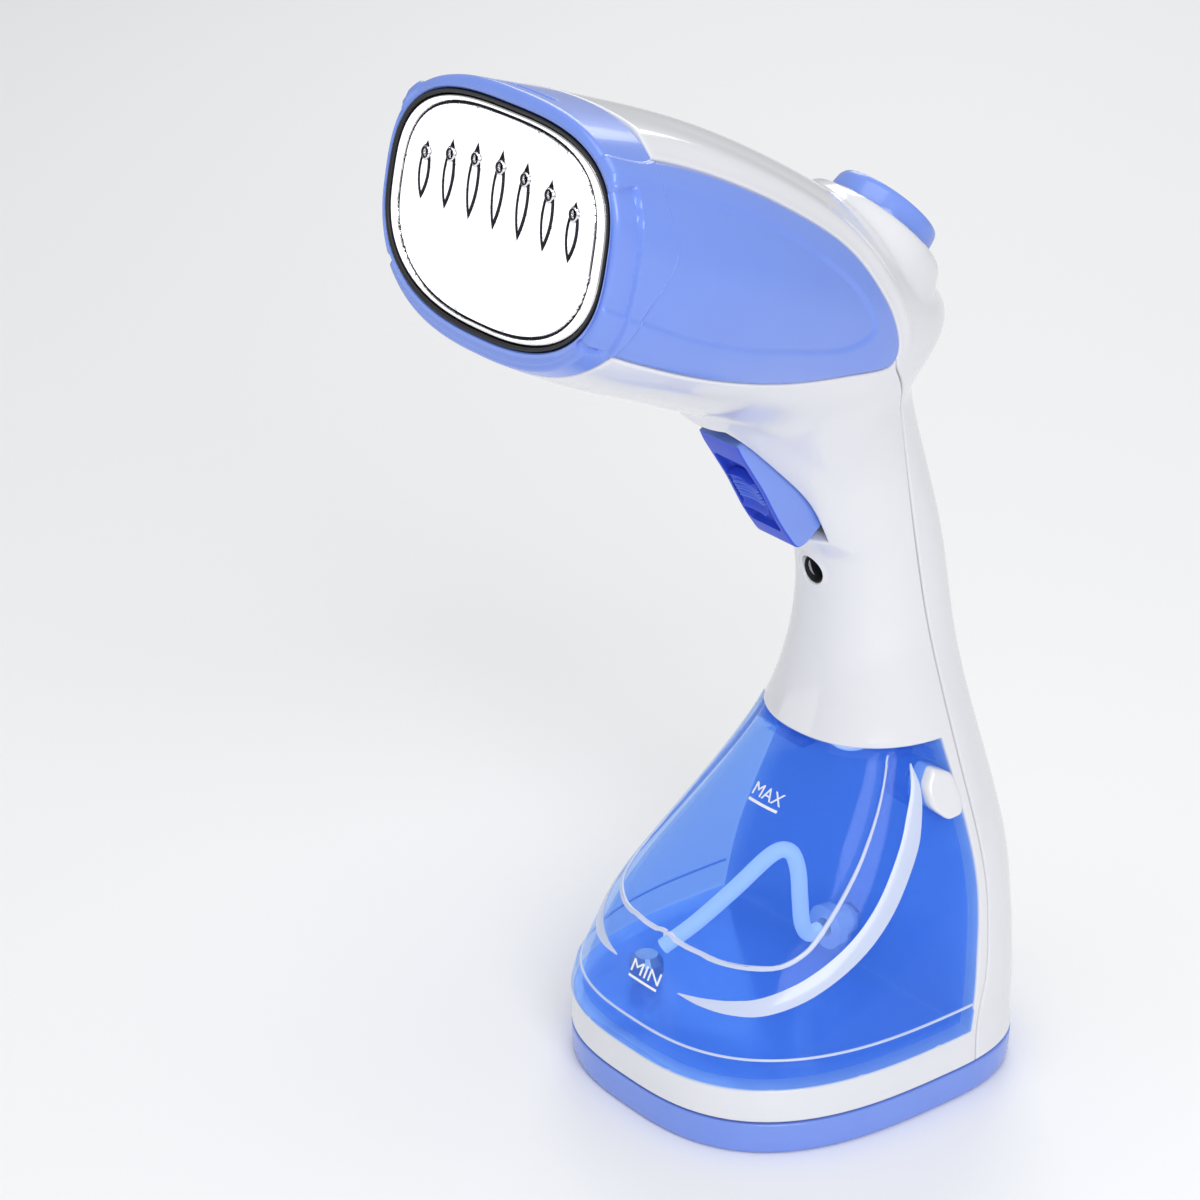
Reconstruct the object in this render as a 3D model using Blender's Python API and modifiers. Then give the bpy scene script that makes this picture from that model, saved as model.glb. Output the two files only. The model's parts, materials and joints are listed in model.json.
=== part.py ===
"""Handheld garment steamer, standing on its base.

Metres, +Z up, origin at the centre of the base's underside. The steamer faces -Y, its plane of symmetry
is X = 0, and its left side is +X. The casing is one lofted form, cut into shells along the seams.
"""

import math

import bmesh
import bpy
from mathutils import Matrix, Vector

GAP = 0.0003  # clearance between neighbouring pieces
WALL = 0.003  # casing wall
PANEL = 0.0014  # thickness of the side panels, which lie in a recess of the casing
TANK_WALL = 0.0022
FAR = 0.2  # reach of a cutter that has to pass right through
CAVITY_OVERSHOOT = 0.03  # how far a cavity runs out past an open end

FOOT_HEIGHT = 0.0095
DECK_TOP = 0.0190  # deck that the tank stands on
DECK_THICK = 0.0026
TANK_CEILING = 0.0930  # underside of the shelf above the tank

# Stations of the casing, from the base ring up the handle and forward along the head:
# front or lower point (y, z), rear or upper point (y, z), half width, where between the two points the
# section is widest, and the roundness exponents of the front and the rear half (2 is an ellipse).
STATIONS = [
    ((-0.0536, 0.0098), (0.0542, 0.0098), 0.0506, 0.60, 2.75, 2.90),
    ((-0.0533, 0.0190), (0.0543, 0.0190), 0.0498, 0.60, 2.75, 2.90),
    ((-0.0506, 0.0300), (0.0548, 0.0300), 0.0492, 0.61, 2.60, 2.80),
    ((-0.0428, 0.0450), (0.0556, 0.0450), 0.0466, 0.62, 2.40, 2.60),
    ((-0.0265, 0.0600), (0.0553, 0.0600), 0.0420, 0.62, 2.35, 2.50),
    ((-0.0115, 0.0750), (0.0536, 0.0750), 0.0356, 0.61, 2.30, 2.40),
    ((0.0006, 0.0930), (0.0508, 0.0930), 0.0277, 0.58, 2.20, 2.30),
    ((0.0064, 0.1150), (0.0480, 0.1150), 0.0204, 0.52, 2.20, 2.20),
    ((0.0062, 0.1360), (0.0450, 0.1380), 0.0172, 0.50, 2.20, 2.20),
    ((0.0008, 0.1505), (0.0404, 0.1570), 0.0166, 0.50, 2.10, 2.10),
    ((-0.0055, 0.1610), (0.0360, 0.1720), 0.0170, 0.50, 2.10, 2.00),
    ((-0.0145, 0.1710), (0.0335, 0.1825), 0.0194, 0.50, 2.10, 1.80),
    ((-0.0240, 0.1805), (0.0360, 0.1900), 0.0230, 0.50, 2.10, 1.60),
    ((-0.0315, 0.1866), (0.0440, 0.2005), 0.0270, 0.48, 2.10, 1.60),
    ((-0.0370, 0.1905), (0.0368, 0.2106), 0.0305, 0.48, 2.10, 1.80),
    ((-0.0435, 0.1938), (0.0225, 0.2245), 0.0340, 0.48, 2.15, 1.90),
    ((-0.0515, 0.1972), (0.0080, 0.2365), 0.0370, 0.48, 2.20, 1.95),
    ((-0.0610, 0.2017), (-0.0130, 0.2502), 0.0405, 0.48, 2.30, 1.95),
    ((-0.0725, 0.2069), (-0.0370, 0.2630), 0.0430, 0.50, 2.45, 2.00),
    ((-0.0846, 0.2125), (-0.0610, 0.2724), 0.0442, 0.53, 2.55, 2.15),
    ((-0.0988, 0.2204), (-0.0867, 0.2806), 0.0436, 0.56, 2.60, 2.60),
]
COLUMNS = 28  # points round the casing's outer section
INNER_COLUMNS = 20  # points round its cavities

# Seams, seen from the side as (y, z).
BEZEL_SEAM = [
    (-0.062, 0.290),
    (-0.068, 0.275),
    (-0.0735, 0.265),
    (-0.0744, 0.2505),
    (-0.082, 0.240),
    (-0.087, 0.2315),
    (-0.0975, 0.210),
]
REAR_SEAM = [
    (-0.120, 0.258),
    (-0.080, 0.243),
    (-0.040, 0.226),
    (0.000, 0.2065),
    (0.0065, 0.1990),
    (0.0170, 0.1850),
    (0.0215, 0.1730),
    (0.0250, 0.1520),
    (0.0283, 0.1300),
    (0.0310, 0.1060),
    (0.0316, 0.0800),
    (0.0312, 0.0600),
    (0.0298, 0.0480),
    (0.0275, 0.0340),
    (0.0240, 0.0220),
    (0.0220, 0.0000),
]
TANK_REAR = [
    (0.0272, 0.0950),
    (0.0282, 0.0780),
    (0.0283, 0.0680),
    (0.0278, 0.0590),
    (0.0264, 0.0500),
    (0.0242, 0.0395),
    (0.0222, 0.0274),
    (0.0200, 0.0150),
]
PANEL_TOP = [
    (-0.0800, 0.2710),
    (-0.0700, 0.2683),
    (-0.0524, 0.2608),
    (-0.0314, 0.2492),
    (-0.0111, 0.2347),
    (0.0006, 0.2192),
    (0.0048, 0.2105),
    (0.0057, 0.2050),
    (0.0040, 0.2020),
]
PANEL_BOTTOM = [
    (0.0000, 0.2015),
    (-0.0113, 0.2032),
    (-0.0341, 0.2070),
    (-0.0573, 0.2143),
    (-0.0789, 0.2236),
    (-0.0920, 0.2300),
]

# Steam plate and its frame: local Y runs up the plate, local Z is its outward normal.
PLATE_CENTRE = Vector((0, -0.0929, 0.25065))
PLATE_TURN = math.radians(79)
PLATE_HALF_WIDTH = 0.0394
PLATE_HALF_HEIGHT = 0.0257
PLATE_THICK = 0.0020
PLATE_SET_BACK = 0.0008
GASKET = 0.0012
JET_COUNT = 7
JET_PITCH = 0.0092
JET_RADIUS = 0.0011
JET_TOP = 0.0124
JET_FALL = 0.0035  # how far the outermost jets sit below the middle one

# Head frame for the boiler: local Y runs rearwards along the head.
HEAD_TILT = math.radians(-26)
BOILER_CENTRE = Vector((0, -0.0470, 0.2310))
BOILER_SIZE = Vector((0.054, 0.038, 0.014))
BOILER_COVER_THICK = 0.007

# Steam dial on the back of the head; local Z is its axis, pointing out.
DIAL_CENTRE = Vector((0, 0.0238, 0.2243))
DIAL_TURN = math.radians(-47)
DIAL_RADIUS = 0.0150
DIAL_HEIGHT = 0.0066
DIAL_SHAFT_RADIUS = 0.0027

TRIGGER_PIVOT = (-0.0160, 0.1836)
TRIGGER_HALF_WIDTH = 0.0075
TRIGGER_PIN_RADIUS = 0.0015
TRIGGER_OUTLINE = [
    (-0.0256, 0.1804),
    (-0.0242, 0.1776),
    (-0.0210, 0.1726),
    (-0.0170, 0.1664),
    (-0.0140, 0.1610),
    (-0.0113, 0.1562),
    (-0.0082, 0.1516),
    (-0.0056, 0.1484),
    (-0.0030, 0.1482),
    (0.0005, 0.1504),
    (0.0030, 0.1530),
    (0.0034, 0.1575),
    (0.0012, 0.1625),
    (-0.0040, 0.1685),
    (-0.0092, 0.1755),
    (-0.0118, 0.1815),
    (-0.0128, 0.1860),
    (-0.0160, 0.1874),
    (-0.0192, 0.1862),
    (-0.0210, 0.1834),
]
TRIGGER_SLOT = [
    (-0.0340, 0.1838),
    (-0.0240, 0.1900),
    (0.0060, 0.1700),
    (0.0080, 0.1488),
    (-0.0140, 0.1462),
]
LOCK_LENGTH = 0.0150
LOCK_CENTRE = (-0.0163, 0.1644)
LOCK_TURN = math.radians(31)  # lean of the trigger's front face from the vertical

SCREW_HEIGHT = 0.1365
SCREW_HEAD_Y = 0.0165

BUTTON_CENTRE = (0.0229, 0.0815)
BUTTON_SIZE = (0.0096, 0.0128)
BUTTON_INNER_X = 0.0255
POCKET_FLOOR_X = 0.0200

FOOT_SCREWS = [(0.030, -0.026), (-0.030, -0.026), (0.026, 0.036), (-0.026, 0.036)]
FOOT_PADS = [(0.022, -0.040), (-0.022, -0.040), (0.038, 0.030), (-0.038, 0.030)]
POST_RADIUS = 0.0041
POST_LOW = FOOT_HEIGHT + 0.0004
POST_HIGH = 0.0200
SINK_DEPTH = 0.0050
BASE_SCREW_LENGTH = 0.0125
HANDLE_SCREW_LENGTH = 0.0150
VALVE_HEIGHT = 0.0300
FILLER_PLACE = (0.0085, 0.0135)  # x and y of the filler in the tank's top
GLAND_HEIGHT = 0.0240

parts = bpy.data.collections.new("handheld_steamer")
cutters = bpy.data.collections.new("cutters")


# ---------------------------------------------------------------- scene and materials


def clear_scene():
    for item in list(bpy.data.objects):
        bpy.data.objects.remove(item)
    bpy.context.scene.collection.children.link(parts)
    bpy.context.scene.collection.children.link(cutters)


def material(name, color, roughness=0.35, metallic=0.0, alpha=1.0):
    made = bpy.data.materials.new(name)
    made.use_nodes = True
    shader = made.node_tree.nodes["Principled BSDF"]
    shader.inputs["Base Color"].default_value = (*color, 1.0)
    shader.inputs["Roughness"].default_value = roughness
    shader.inputs["Metallic"].default_value = metallic
    shader.inputs["Alpha"].default_value = alpha
    made.diffuse_color = (*color, alpha)
    return made


clear_scene()
WHITE = material("gloss_white", (0.86, 0.86, 0.88), 0.18)
BLUE = material("periwinkle", (0.32, 0.44, 0.92), 0.25)
DEEP_BLUE = material("trigger_blue", (0.10, 0.18, 0.80), 0.25)
TANK_BLUE = material("tank_blue", (0.08, 0.26, 0.90), 0.08, 0.0, 0.45)
BLACK_RUBBER = material("black_rubber", (0.02, 0.02, 0.02), 0.7)
GREY_RUBBER = material("grey_rubber", (0.22, 0.22, 0.24), 0.8)
SILICONE = material("silicone", (0.85, 0.87, 0.90), 0.5)
CHROME = material("polished_steel", (0.80, 0.80, 0.82), 0.08, 1.0)
STEEL = material("steel", (0.55, 0.55, 0.56), 0.35, 1.0)
ALUMINIUM = material("cast_aluminium", (0.62, 0.63, 0.64), 0.45, 1.0)
BOARD_GREEN = material("circuit_board", (0.03, 0.25, 0.10), 0.5)
DARK = material("dark_plastic", (0.04, 0.04, 0.05), 0.5)


# ---------------------------------------------------------------- building blocks


def add_object(name, data, place=None, finish=None):
    """Links a new object: a part when it has a finish, else a hidden cutter."""
    made = bpy.data.objects.new(name, data)
    if place is not None:
        made.matrix_world = place
    if finish is None:
        cutters.objects.link(made)
        made.hide_render = True
        made.display_type = "WIRE"
    else:
        parts.objects.link(made)
        data.materials.append(finish)
    return made


def mesh_object(name, shape, place=None, finish=None):
    """Turns a bmesh into an object with its normals facing out, and frees it."""
    bmesh.ops.recalc_face_normals(shape, faces=shape.faces)
    data = bpy.data.meshes.new(name)
    shape.to_mesh(data)
    shape.free()
    if finish is not None:
        data.shade_smooth()
        data.set_sharp_from_angle(angle=math.radians(35))
    return add_object(name, data, place, finish)


def loft(name, rings, finish=None, place=None):
    """A closed solid through rings of equal length, capped at both ends."""
    shape = bmesh.new()
    made = [[shape.verts.new(point) for point in ring] for ring in rings]
    count = len(made[0])
    for low, high in zip(made, made[1:]):
        for i in range(count):
            k = (i + 1) % count
            shape.faces.new((low[i], low[k], high[k], high[i]))
    bmesh.ops.triangulate(shape, faces=shape.faces)  # a bent quad would upset the Booleans
    shape.faces.new(made[0][::-1])
    shape.faces.new(made[-1])
    return mesh_object(name, shape, place, finish)


def prism(name, outline, low_x, high_x, finish=None):
    """A side outline of (y, z) points, extruded along X."""
    shape = bmesh.new()
    face = shape.faces.new([shape.verts.new((low_x, y, z)) for y, z in outline])
    grown = bmesh.ops.extrude_face_region(shape, geom=[face])
    moved = [v for v in grown["geom"] if isinstance(v, bmesh.types.BMVert)]
    bmesh.ops.translate(shape, verts=moved, vec=(high_x - low_x, 0, 0))
    return mesh_object(name, shape, None, finish)


def plate_prism(name, outline, low_z, high_z, place, finish=None):
    """An outline of local (x, y) points, extruded along local Z."""
    rings = [[(x, y, z) for x, y in outline] for z in (low_z, high_z)]
    return loft(name, rings, finish, place)


def box(name, low, high, finish=None, place=None, bevel=0.0):
    shape = bmesh.new()
    bmesh.ops.create_cube(shape, size=1.0)
    size = Vector(high) - Vector(low)
    bmesh.ops.scale(shape, vec=size, verts=shape.verts)
    bmesh.ops.translate(shape, vec=(Vector(low) + Vector(high)) / 2, verts=shape.verts)
    made = mesh_object(name, shape, place, finish)
    if bevel:
        edge = made.modifiers.new("edges", "BEVEL")
        edge.width = bevel
        edge.segments = 2
    return made


def frame(origin, turn=0.0, axis="X"):
    return Matrix.Translation(Vector(origin)) @ Matrix.Rotation(turn, 4, axis)


def cylinder(name, radius, low, high, place, finish=None, sides=24):
    """A round bar along the local Z axis of its frame, from low to high."""
    shape = bmesh.new()
    bmesh.ops.create_cone(
        shape, cap_ends=True, segments=sides, radius1=radius, radius2=radius, depth=high - low
    )
    bmesh.ops.translate(shape, vec=(0, 0, (low + high) / 2), verts=shape.verts)
    return mesh_object(name, shape, place, finish)


def turned(name, profile, place, finish=None, sides=32):
    """A closed (radius, height) profile turned about the local Z axis; it runs down its outer side."""
    data = bpy.data.meshes.new(name)
    points = [(radius, 0, height) for radius, height in profile]
    edges = [(i, (i + 1) % len(points)) for i in range(len(points))]
    if profile[0][0] == 0 and profile[-1][0] == 0:
        edges.pop()
    data.from_pydata(points, edges, [])
    made = add_object(name, data, place, finish)
    turn = made.modifiers.new("turn", "SCREW")
    turn.steps = sides
    turn.render_steps = sides
    turn.use_merge_vertices = True
    turn.merge_threshold = 0.00001
    return made


def helix_points(radius, length, turns, per_turn=7):
    count = turns * per_turn
    for i in range(count + 1):
        angle = 2 * math.pi * i / per_turn
        yield (radius * math.cos(angle), radius * math.sin(angle), length * i / count)


def tube(name, points, radius, finish, place=None, resolution=2):
    """A round tube along the points, with filled ends."""
    data = bpy.data.curves.new(name, "CURVE")
    data.dimensions = "3D"
    data.bevel_depth = radius
    data.bevel_resolution = resolution
    data.use_fill_caps = True
    spline = data.splines.new("POLY")
    points = list(points)
    spline.points.add(len(points) - 1)
    for target, point in zip(spline.points, points):
        target.co = (*point, 1.0)
    return add_object(name, data, place, finish)


def combine(target, tool, operation="DIFFERENCE"):
    step = target.modifiers.new(tool.name, "BOOLEAN")
    step.operation = operation
    step.object = tool
    return target


def through_points(points, steps=4):
    """A smooth curve through the points (Catmull-Rom), with steps pieces between each two."""
    found = []
    for i in range(len(points) - 1):
        before = Vector(points[max(i - 1, 0)])
        start = Vector(points[i])
        end = Vector(points[i + 1])
        after = Vector(points[min(i + 2, len(points) - 1)])
        for k in range(steps):
            t = k / steps
            found.append(
                0.5
                * (
                    2 * start
                    + (end - before) * t
                    + (2 * before - 5 * start + 4 * end - after) * t**2
                    + (3 * start - before - 3 * end + after) * t**3
                )
            )
    found.append(Vector(points[-1]))
    return found


def shifted(path, distance):
    """A (y, z) path moved sideways by distance, to its left as it runs."""
    moved = []
    for i, point in enumerate(path):
        along = Vector(path[min(i + 1, len(path) - 1)]) - Vector(path[max(i - 1, 0)])
        side = Vector((-along[1], along[0])).normalized()
        moved.append(tuple(Vector(point) + side * distance))
    return moved


def egg(half_width, half_height, top_power, bottom_power, count=40):
    """An outline with its own roundness above and below its middle line."""
    outline = []
    for i in range(count):
        angle = 2 * math.pi * i / count
        c, s = math.cos(angle), math.sin(angle)
        power = 2 / (top_power if s >= 0 else bottom_power)
        outline.append(
            (
                math.copysign(half_width * abs(c) ** power, c),
                math.copysign(half_height * abs(s) ** power, s),
            )
        )
    return outline


# ---------------------------------------------------------------- the casing's form


def casing_section(station, inset, columns=COLUMNS):
    """One closed section of the casing, moved inwards by inset."""
    front_y, front_z, rear_y, rear_z, half_width, widest, front_power, rear_power = station
    front = Vector((0, front_y, front_z))
    rear = Vector((0, rear_y, rear_z))
    along = (rear - front).normalized()
    depth = (rear - front).length
    middle = front + along * depth * widest
    half_width -= inset
    ring = []
    for i in range(columns):
        angle = 2 * math.pi * i / columns
        c, s = math.cos(angle), math.sin(angle)
        power = 2 / (front_power if s < 0 else rear_power)
        reach = depth * (widest if s < 0 else 1 - widest) - inset
        across = math.copysign(half_width * abs(c) ** power, c)
        lengthwise = math.copysign(reach * abs(s) ** power, s)
        ring.append(middle + along * lengthwise + Vector((across, 0, 0)))
    return ring


def casing_form(name, inset=0.0, columns=COLUMNS, overshoot=0.0):
    """The casing's solid form; overshoot lengthens both ends so that a cavity opens there."""
    table = [(*front, *rear, *rest) for front, rear, *rest in STATIONS]
    rings = [casing_section(station, inset, columns) for station in table]
    if overshoot:
        rings.insert(0, [point - Vector((0, 0, overshoot)) for point in rings[0]])
        out = Matrix.Rotation(PLATE_TURN, 3, "X") @ Vector((0, 0, overshoot))
        rings.append([point + out for point in rings[-1]])
    return loft(name, rings)


def side_region(name, path, closing, distance=0.0):
    """A cutter over all X: everything between a seam and the closing points."""
    return prism(name, shifted(path, distance) + closing, -FAR, FAR)


BEHIND = [(FAR, 0.0), (FAR, 0.35), (-FAR, 0.35), (-FAR, 0.28)]


def panel_outline(distance):
    top = [tuple(p) for p in through_points(PANEL_TOP, 2)]
    bottom = [tuple(p) for p in through_points(PANEL_BOTTOM, 2)]
    return shifted(top + bottom, distance)


def bezel_region(name, distance):
    path = shifted(BEZEL_SEAM, distance)
    return prism(name, path + [(-0.16, 0.19), (-0.16, 0.31)], -FAR, FAR)


def tank_region(name, distance, low, high):
    """The tank's block, seen from the side: in front of its rear edge, between two heights."""
    path = shifted(TANK_REAR, distance)
    block = prism(name, path + [(-FAR, 0.0150), (-FAR, 0.0950)], -FAR, FAR)
    slab = box(name + "_slab", (-FAR, -FAR, low), (FAR, FAR, high))
    return combine(block, slab, "INTERSECT")


def dial_frame():
    return frame(DIAL_CENTRE, DIAL_TURN)


def plate_frame():
    return frame(PLATE_CENTRE, PLATE_TURN)


def head_frame(origin):
    return frame(origin, HEAD_TILT)


def along_y(x, y, z):
    """A frame whose local Z runs along +Y."""
    return frame((x, y, z), math.radians(-90))


# ---------------------------------------------------------------- casing shells


def panel_recess(side):
    """What a side panel's recess takes out of the casing: the wall's outer layer inside the outline."""
    low, high = sorted((side * 0.012, side * FAR))
    recess = prism(f"recess_{side}", panel_outline(0.0), low, high)
    return combine(recess, bpy.data.objects["form_recess"])


def make_forms():
    casing_form("form_panel_floor", PANEL)
    casing_form("form_recess", PANEL + GAP)
    casing_form("form_inside", WALL, INNER_COLUMNS, CAVITY_OVERSHOOT)


def make_cavity():
    """The casing's inside, less the shelf, bulkhead, deck and trigger lugs that stay solid."""
    cavity = bpy.data.objects["form_inside"]
    shelf_top = TANK_CEILING + 0.0026
    shelf = [(-0.08, 0.012), (0.0335, 0.012), (0.0335, shelf_top), (-0.08, shelf_top)]
    solid = prism("keep_bulkhead", shelf, -FAR, FAR)
    below = box("keep_below", (-FAR, -FAR, -0.03), (FAR, FAR, DECK_TOP - DECK_THICK))
    combine(cavity, combine(solid, below))
    lug = [(-0.036, 0.178), (-0.010, 0.178), (-0.010, 0.188), (-0.020, 0.193), (-0.036, 0.193)]
    for side in (1, -1):
        low, high = sorted((side * 0.0084, side * 0.0110))
        combine(cavity, prism(f"keep_lug_{side}", lug, low, high))
    recess = cylinder("keep_recess", 0.0050, -0.02, 0.0030, along_y(0, SCREW_HEAD_Y, SCREW_HEIGHT))
    combine(cavity, recess)
    for i, (x, y) in enumerate(FOOT_SCREWS):
        post = cylinder(f"keep_post_{i}", POST_RADIUS, POST_LOW, POST_HIGH, frame((x, y, 0)), None, 12)
        combine(cavity, post)
    return cavity


def make_front_housing():
    housing = loft_copy("front_housing", WHITE)
    combine(housing, side_region("rear_side", REAR_SEAM, BEHIND, -GAP))
    combine(housing, bezel_region("bezel_side", GAP))
    combine(housing, bpy.data.objects["form_inside"])
    combine(housing, tank_region("tank_bay", GAP, DECK_TOP, TANK_CEILING))
    for side in (1, -1):
        combine(housing, bpy.data.objects[f"recess_{side}"])
    half = TRIGGER_HALF_WIDTH + 0.0005
    slot = prism("trigger_slot", TRIGGER_SLOT, -half, half)
    combine(housing, slot)
    pin_hole = cylinder("pin_hole", TRIGGER_PIN_RADIUS + GAP / 2, -0.0125, 0.0125, pivot_frame())
    combine(housing, pin_hole)
    place = along_y(0, SCREW_HEAD_Y, SCREW_HEIGHT)
    combine(housing, cylinder("screw_recess", 0.0036, -0.03, 0.0, place))
    combine(housing, cylinder("screw_hole", 0.0019, -0.01, 0.01, place, None, 16))
    port = along_y(0, 0, VALVE_HEIGHT)
    combine(housing, cylinder("port_hole", 0.0045, 0.015, 0.05, port))
    cut_post_holes(housing)
    return housing


def cut_post_holes(shell):
    for i, (x, y) in enumerate(FOOT_SCREWS):
        name = f"post_hole_{i}"
        if name not in bpy.data.objects:
            cylinder(name, 0.0018, 0.0, 0.0180, frame((x, y, 0)), None, 12)
        combine(shell, bpy.data.objects[name])


def loft_copy(name, finish):
    """The casing's outer form as a new object."""
    made = casing_form(name)
    cutters.objects.unlink(made)
    parts.objects.link(made)
    made.hide_render = False
    made.display_type = "TEXTURED"
    made.data.materials.append(finish)
    made.data.shade_smooth()
    made.data.set_sharp_from_angle(angle=math.radians(35))
    return made


def make_rear_cover():
    cover = loft_copy("rear_cover", WHITE)
    seat = cylinder("dial_seat", DIAL_RADIUS + 0.0010, -0.0070, 0.0, dial_frame(), None, 32)
    combine(cover, seat, "UNION")
    combine(cover, side_region("rear_keep", REAR_SEAM, BEHIND), "INTERSECT")
    combine(cover, bezel_region("bezel_side_rear", GAP))
    inside = casing_form("form_inside_rear", WALL, INNER_COLUMNS, CAVITY_OVERSHOOT)
    boss = cylinder("keep_boss", 0.0040, 0.0035, 0.05, along_y(0, SCREW_HEAD_Y, SCREW_HEIGHT))
    combine(inside, boss)
    floor = cylinder("keep_seat", 0.0105, -0.0050, 0.01, dial_frame())
    combine(inside, floor)
    for i, (x, y) in enumerate(FOOT_SCREWS[2:]):
        place = frame((x, y, 0))
        post = cylinder(f"keep_rear_post_{i}", POST_RADIUS, POST_LOW, POST_HIGH, place, None, 12)
        combine(inside, post)
        web = box(f"keep_web_{i}", (x - 0.001, y, POST_LOW), (x + 0.001, 0.06, POST_HIGH))
        combine(inside, web)
    combine(cover, inside)
    for side in (1, -1):
        combine(cover, bpy.data.objects[f"recess_{side}"])
    combine(cover, cylinder("shaft_hole", DIAL_SHAFT_RADIUS + GAP, -0.02, 0.01, dial_frame()))
    pilot = cylinder("pilot", 0.0018, 0.0, 0.0200, along_y(0, SCREW_HEAD_Y, SCREW_HEIGHT), None, 16)
    combine(cover, pilot)
    combine(cover, cylinder("gland_hole", 0.0060, 0.03, 0.08, along_y(0, 0, GLAND_HEIGHT)))
    cut_post_holes(cover)
    return cover


def make_side_panels():
    """Blue covers on the head's sides, flush in their recess."""
    for side, name in ((1, "side_panel_left"), (-1, "side_panel_right")):
        panel = loft_copy(name, BLUE)
        low, high = sorted((side * 0.014, side * FAR))
        combine(panel, prism(f"panel_keep_{side}", panel_outline(-GAP), low, high), "INTERSECT")
        combine(panel, bpy.data.objects["form_panel_floor"])
        combine(panel, bezel_region(f"bezel_side_{side}", GAP))


# ---------------------------------------------------------------- nozzle


def gasket_outline(grow=0.0):
    return egg(PLATE_HALF_WIDTH + grow, PLATE_HALF_HEIGHT + grow, 3.0, 2.5)


def make_bezel():
    bezel = loft_copy("nozzle_bezel", BLUE)
    combine(bezel, bezel_region("bezel_keep", 0.0), "INTERSECT")
    mouth = plate_prism("mouth", gasket_outline(GASKET + GAP), -0.05, 0.02, plate_frame())
    combine(bezel, mouth)
    inside = casing_form("form_inside_bezel", WALL, INNER_COLUMNS)
    behind = box("behind_rim", (-FAR, -FAR, -0.1), (FAR, FAR, -0.0075), None, plate_frame())
    combine(bezel, combine(inside, behind, "INTERSECT"))
    return bezel


def make_steam_plate():
    outline = gasket_outline(GASKET)
    gasket = plate_prism("plate_gasket", outline, -0.0075, -GAP, plate_frame(), BLACK_RUBBER)
    combine(gasket, plate_prism("gasket_mouth", gasket_outline(), -0.02, 0.01, plate_frame()))
    back = -PLATE_SET_BACK - PLATE_THICK
    outline = gasket_outline(-GAP)
    plate = plate_prism("steam_plate", outline, back, -PLATE_SET_BACK, plate_frame(), CHROME)
    for i in range(JET_COUNT):
        x = (i - (JET_COUNT - 1) / 2) * JET_PITCH
        y = JET_TOP - JET_FALL * (2 * i / (JET_COUNT - 1) - 1) ** 2
        place = plate_frame() @ Matrix.Translation((x, y, 0))
        combine(plate, cylinder(f"jet_{i}", JET_RADIUS, -0.01, 0.01, place, None, 12))


def make_steam_chamber():
    """Shallow tray behind the plate that spreads the steam over the jets."""
    front = -PLATE_SET_BACK - PLATE_THICK - GAP
    outline = egg(0.035, 0.0205, 3.0, 2.6, 32)
    back = front - 0.0100
    tray = plate_prism("steam_chamber", outline, back, front, plate_frame(), ALUMINIUM)
    inside = egg(0.0325, 0.018, 3.0, 2.6, 32)
    hollow = plate_prism("tray_hollow", inside, back + 0.0020, 0.01, plate_frame())
    combine(tray, hollow)
    combine(tray, cylinder("steam_inlet", 0.0032, -0.03, 0.0, plate_frame(), None, 16))


def make_boiler():
    place = head_frame(BOILER_CENTRE)
    half = BOILER_SIZE / 2
    body = box("boiler_body", -half, half, ALUMINIUM, place)
    hollow = box("boiler_hollow", (-0.021, -0.013, -0.003), (0.021, 0.013, 0.02), None, place)
    combine(body, hollow)
    water = place @ Matrix.Rotation(math.radians(-90), 4, "X")
    combine(body, cylinder("water_inlet", 0.0016, 0.008, 0.03, water, None, 12))
    combine(body, cylinder("steam_outlet", 0.0024, -0.03, -0.008, water, None, 12))
    low = half.z + GAP
    top = low + BOILER_COVER_THICK
    box("boiler_cover", (-half.x, -half.y, low), (half.x, half.y, top), ALUMINIUM, place, 0.0012)
    thermostat = [(0, 0.006), (0.0065, 0.006), (0.008, 0.0045), (0.008, 0), (0, 0)]
    turned("thermostat", thermostat, place @ Matrix.Translation((0.011, 0, top + GAP)), STEEL, 20)
    fuse = place @ Matrix.Translation((-0.012, 0, top + 0.0026)) @ Matrix.Rotation(math.pi / 2, 4, "X")
    cylinder("thermal_fuse", 0.0022, -0.008, 0.008, fuse, SILICONE, 12)
    rod = 0.0033
    drop = -half.z - rod - GAP
    leg = 0.015
    bend = [math.radians(a) for a in range(180, 361, 20)]
    path = [(-leg, 0.030, drop), (-leg, 0.0, drop)]
    path += [(leg * math.cos(a), leg * math.sin(a), drop) for a in bend]
    path += [(leg, 0.030, drop)]
    tube("heating_element", path, rod, STEEL, place)


def make_steam_tube():
    """Carries steam from the boiler's outlet to the chamber's inlet."""
    start = plate_frame() @ Vector((0, 0, -0.0134))
    end = head_frame(BOILER_CENTRE) @ Vector((0, -BOILER_SIZE.y / 2 - 0.0004, 0))
    tube("steam_tube", [start, (start + end) / 2, end], 0.0030, SILICONE)


# ---------------------------------------------------------------- steam dial


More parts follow.
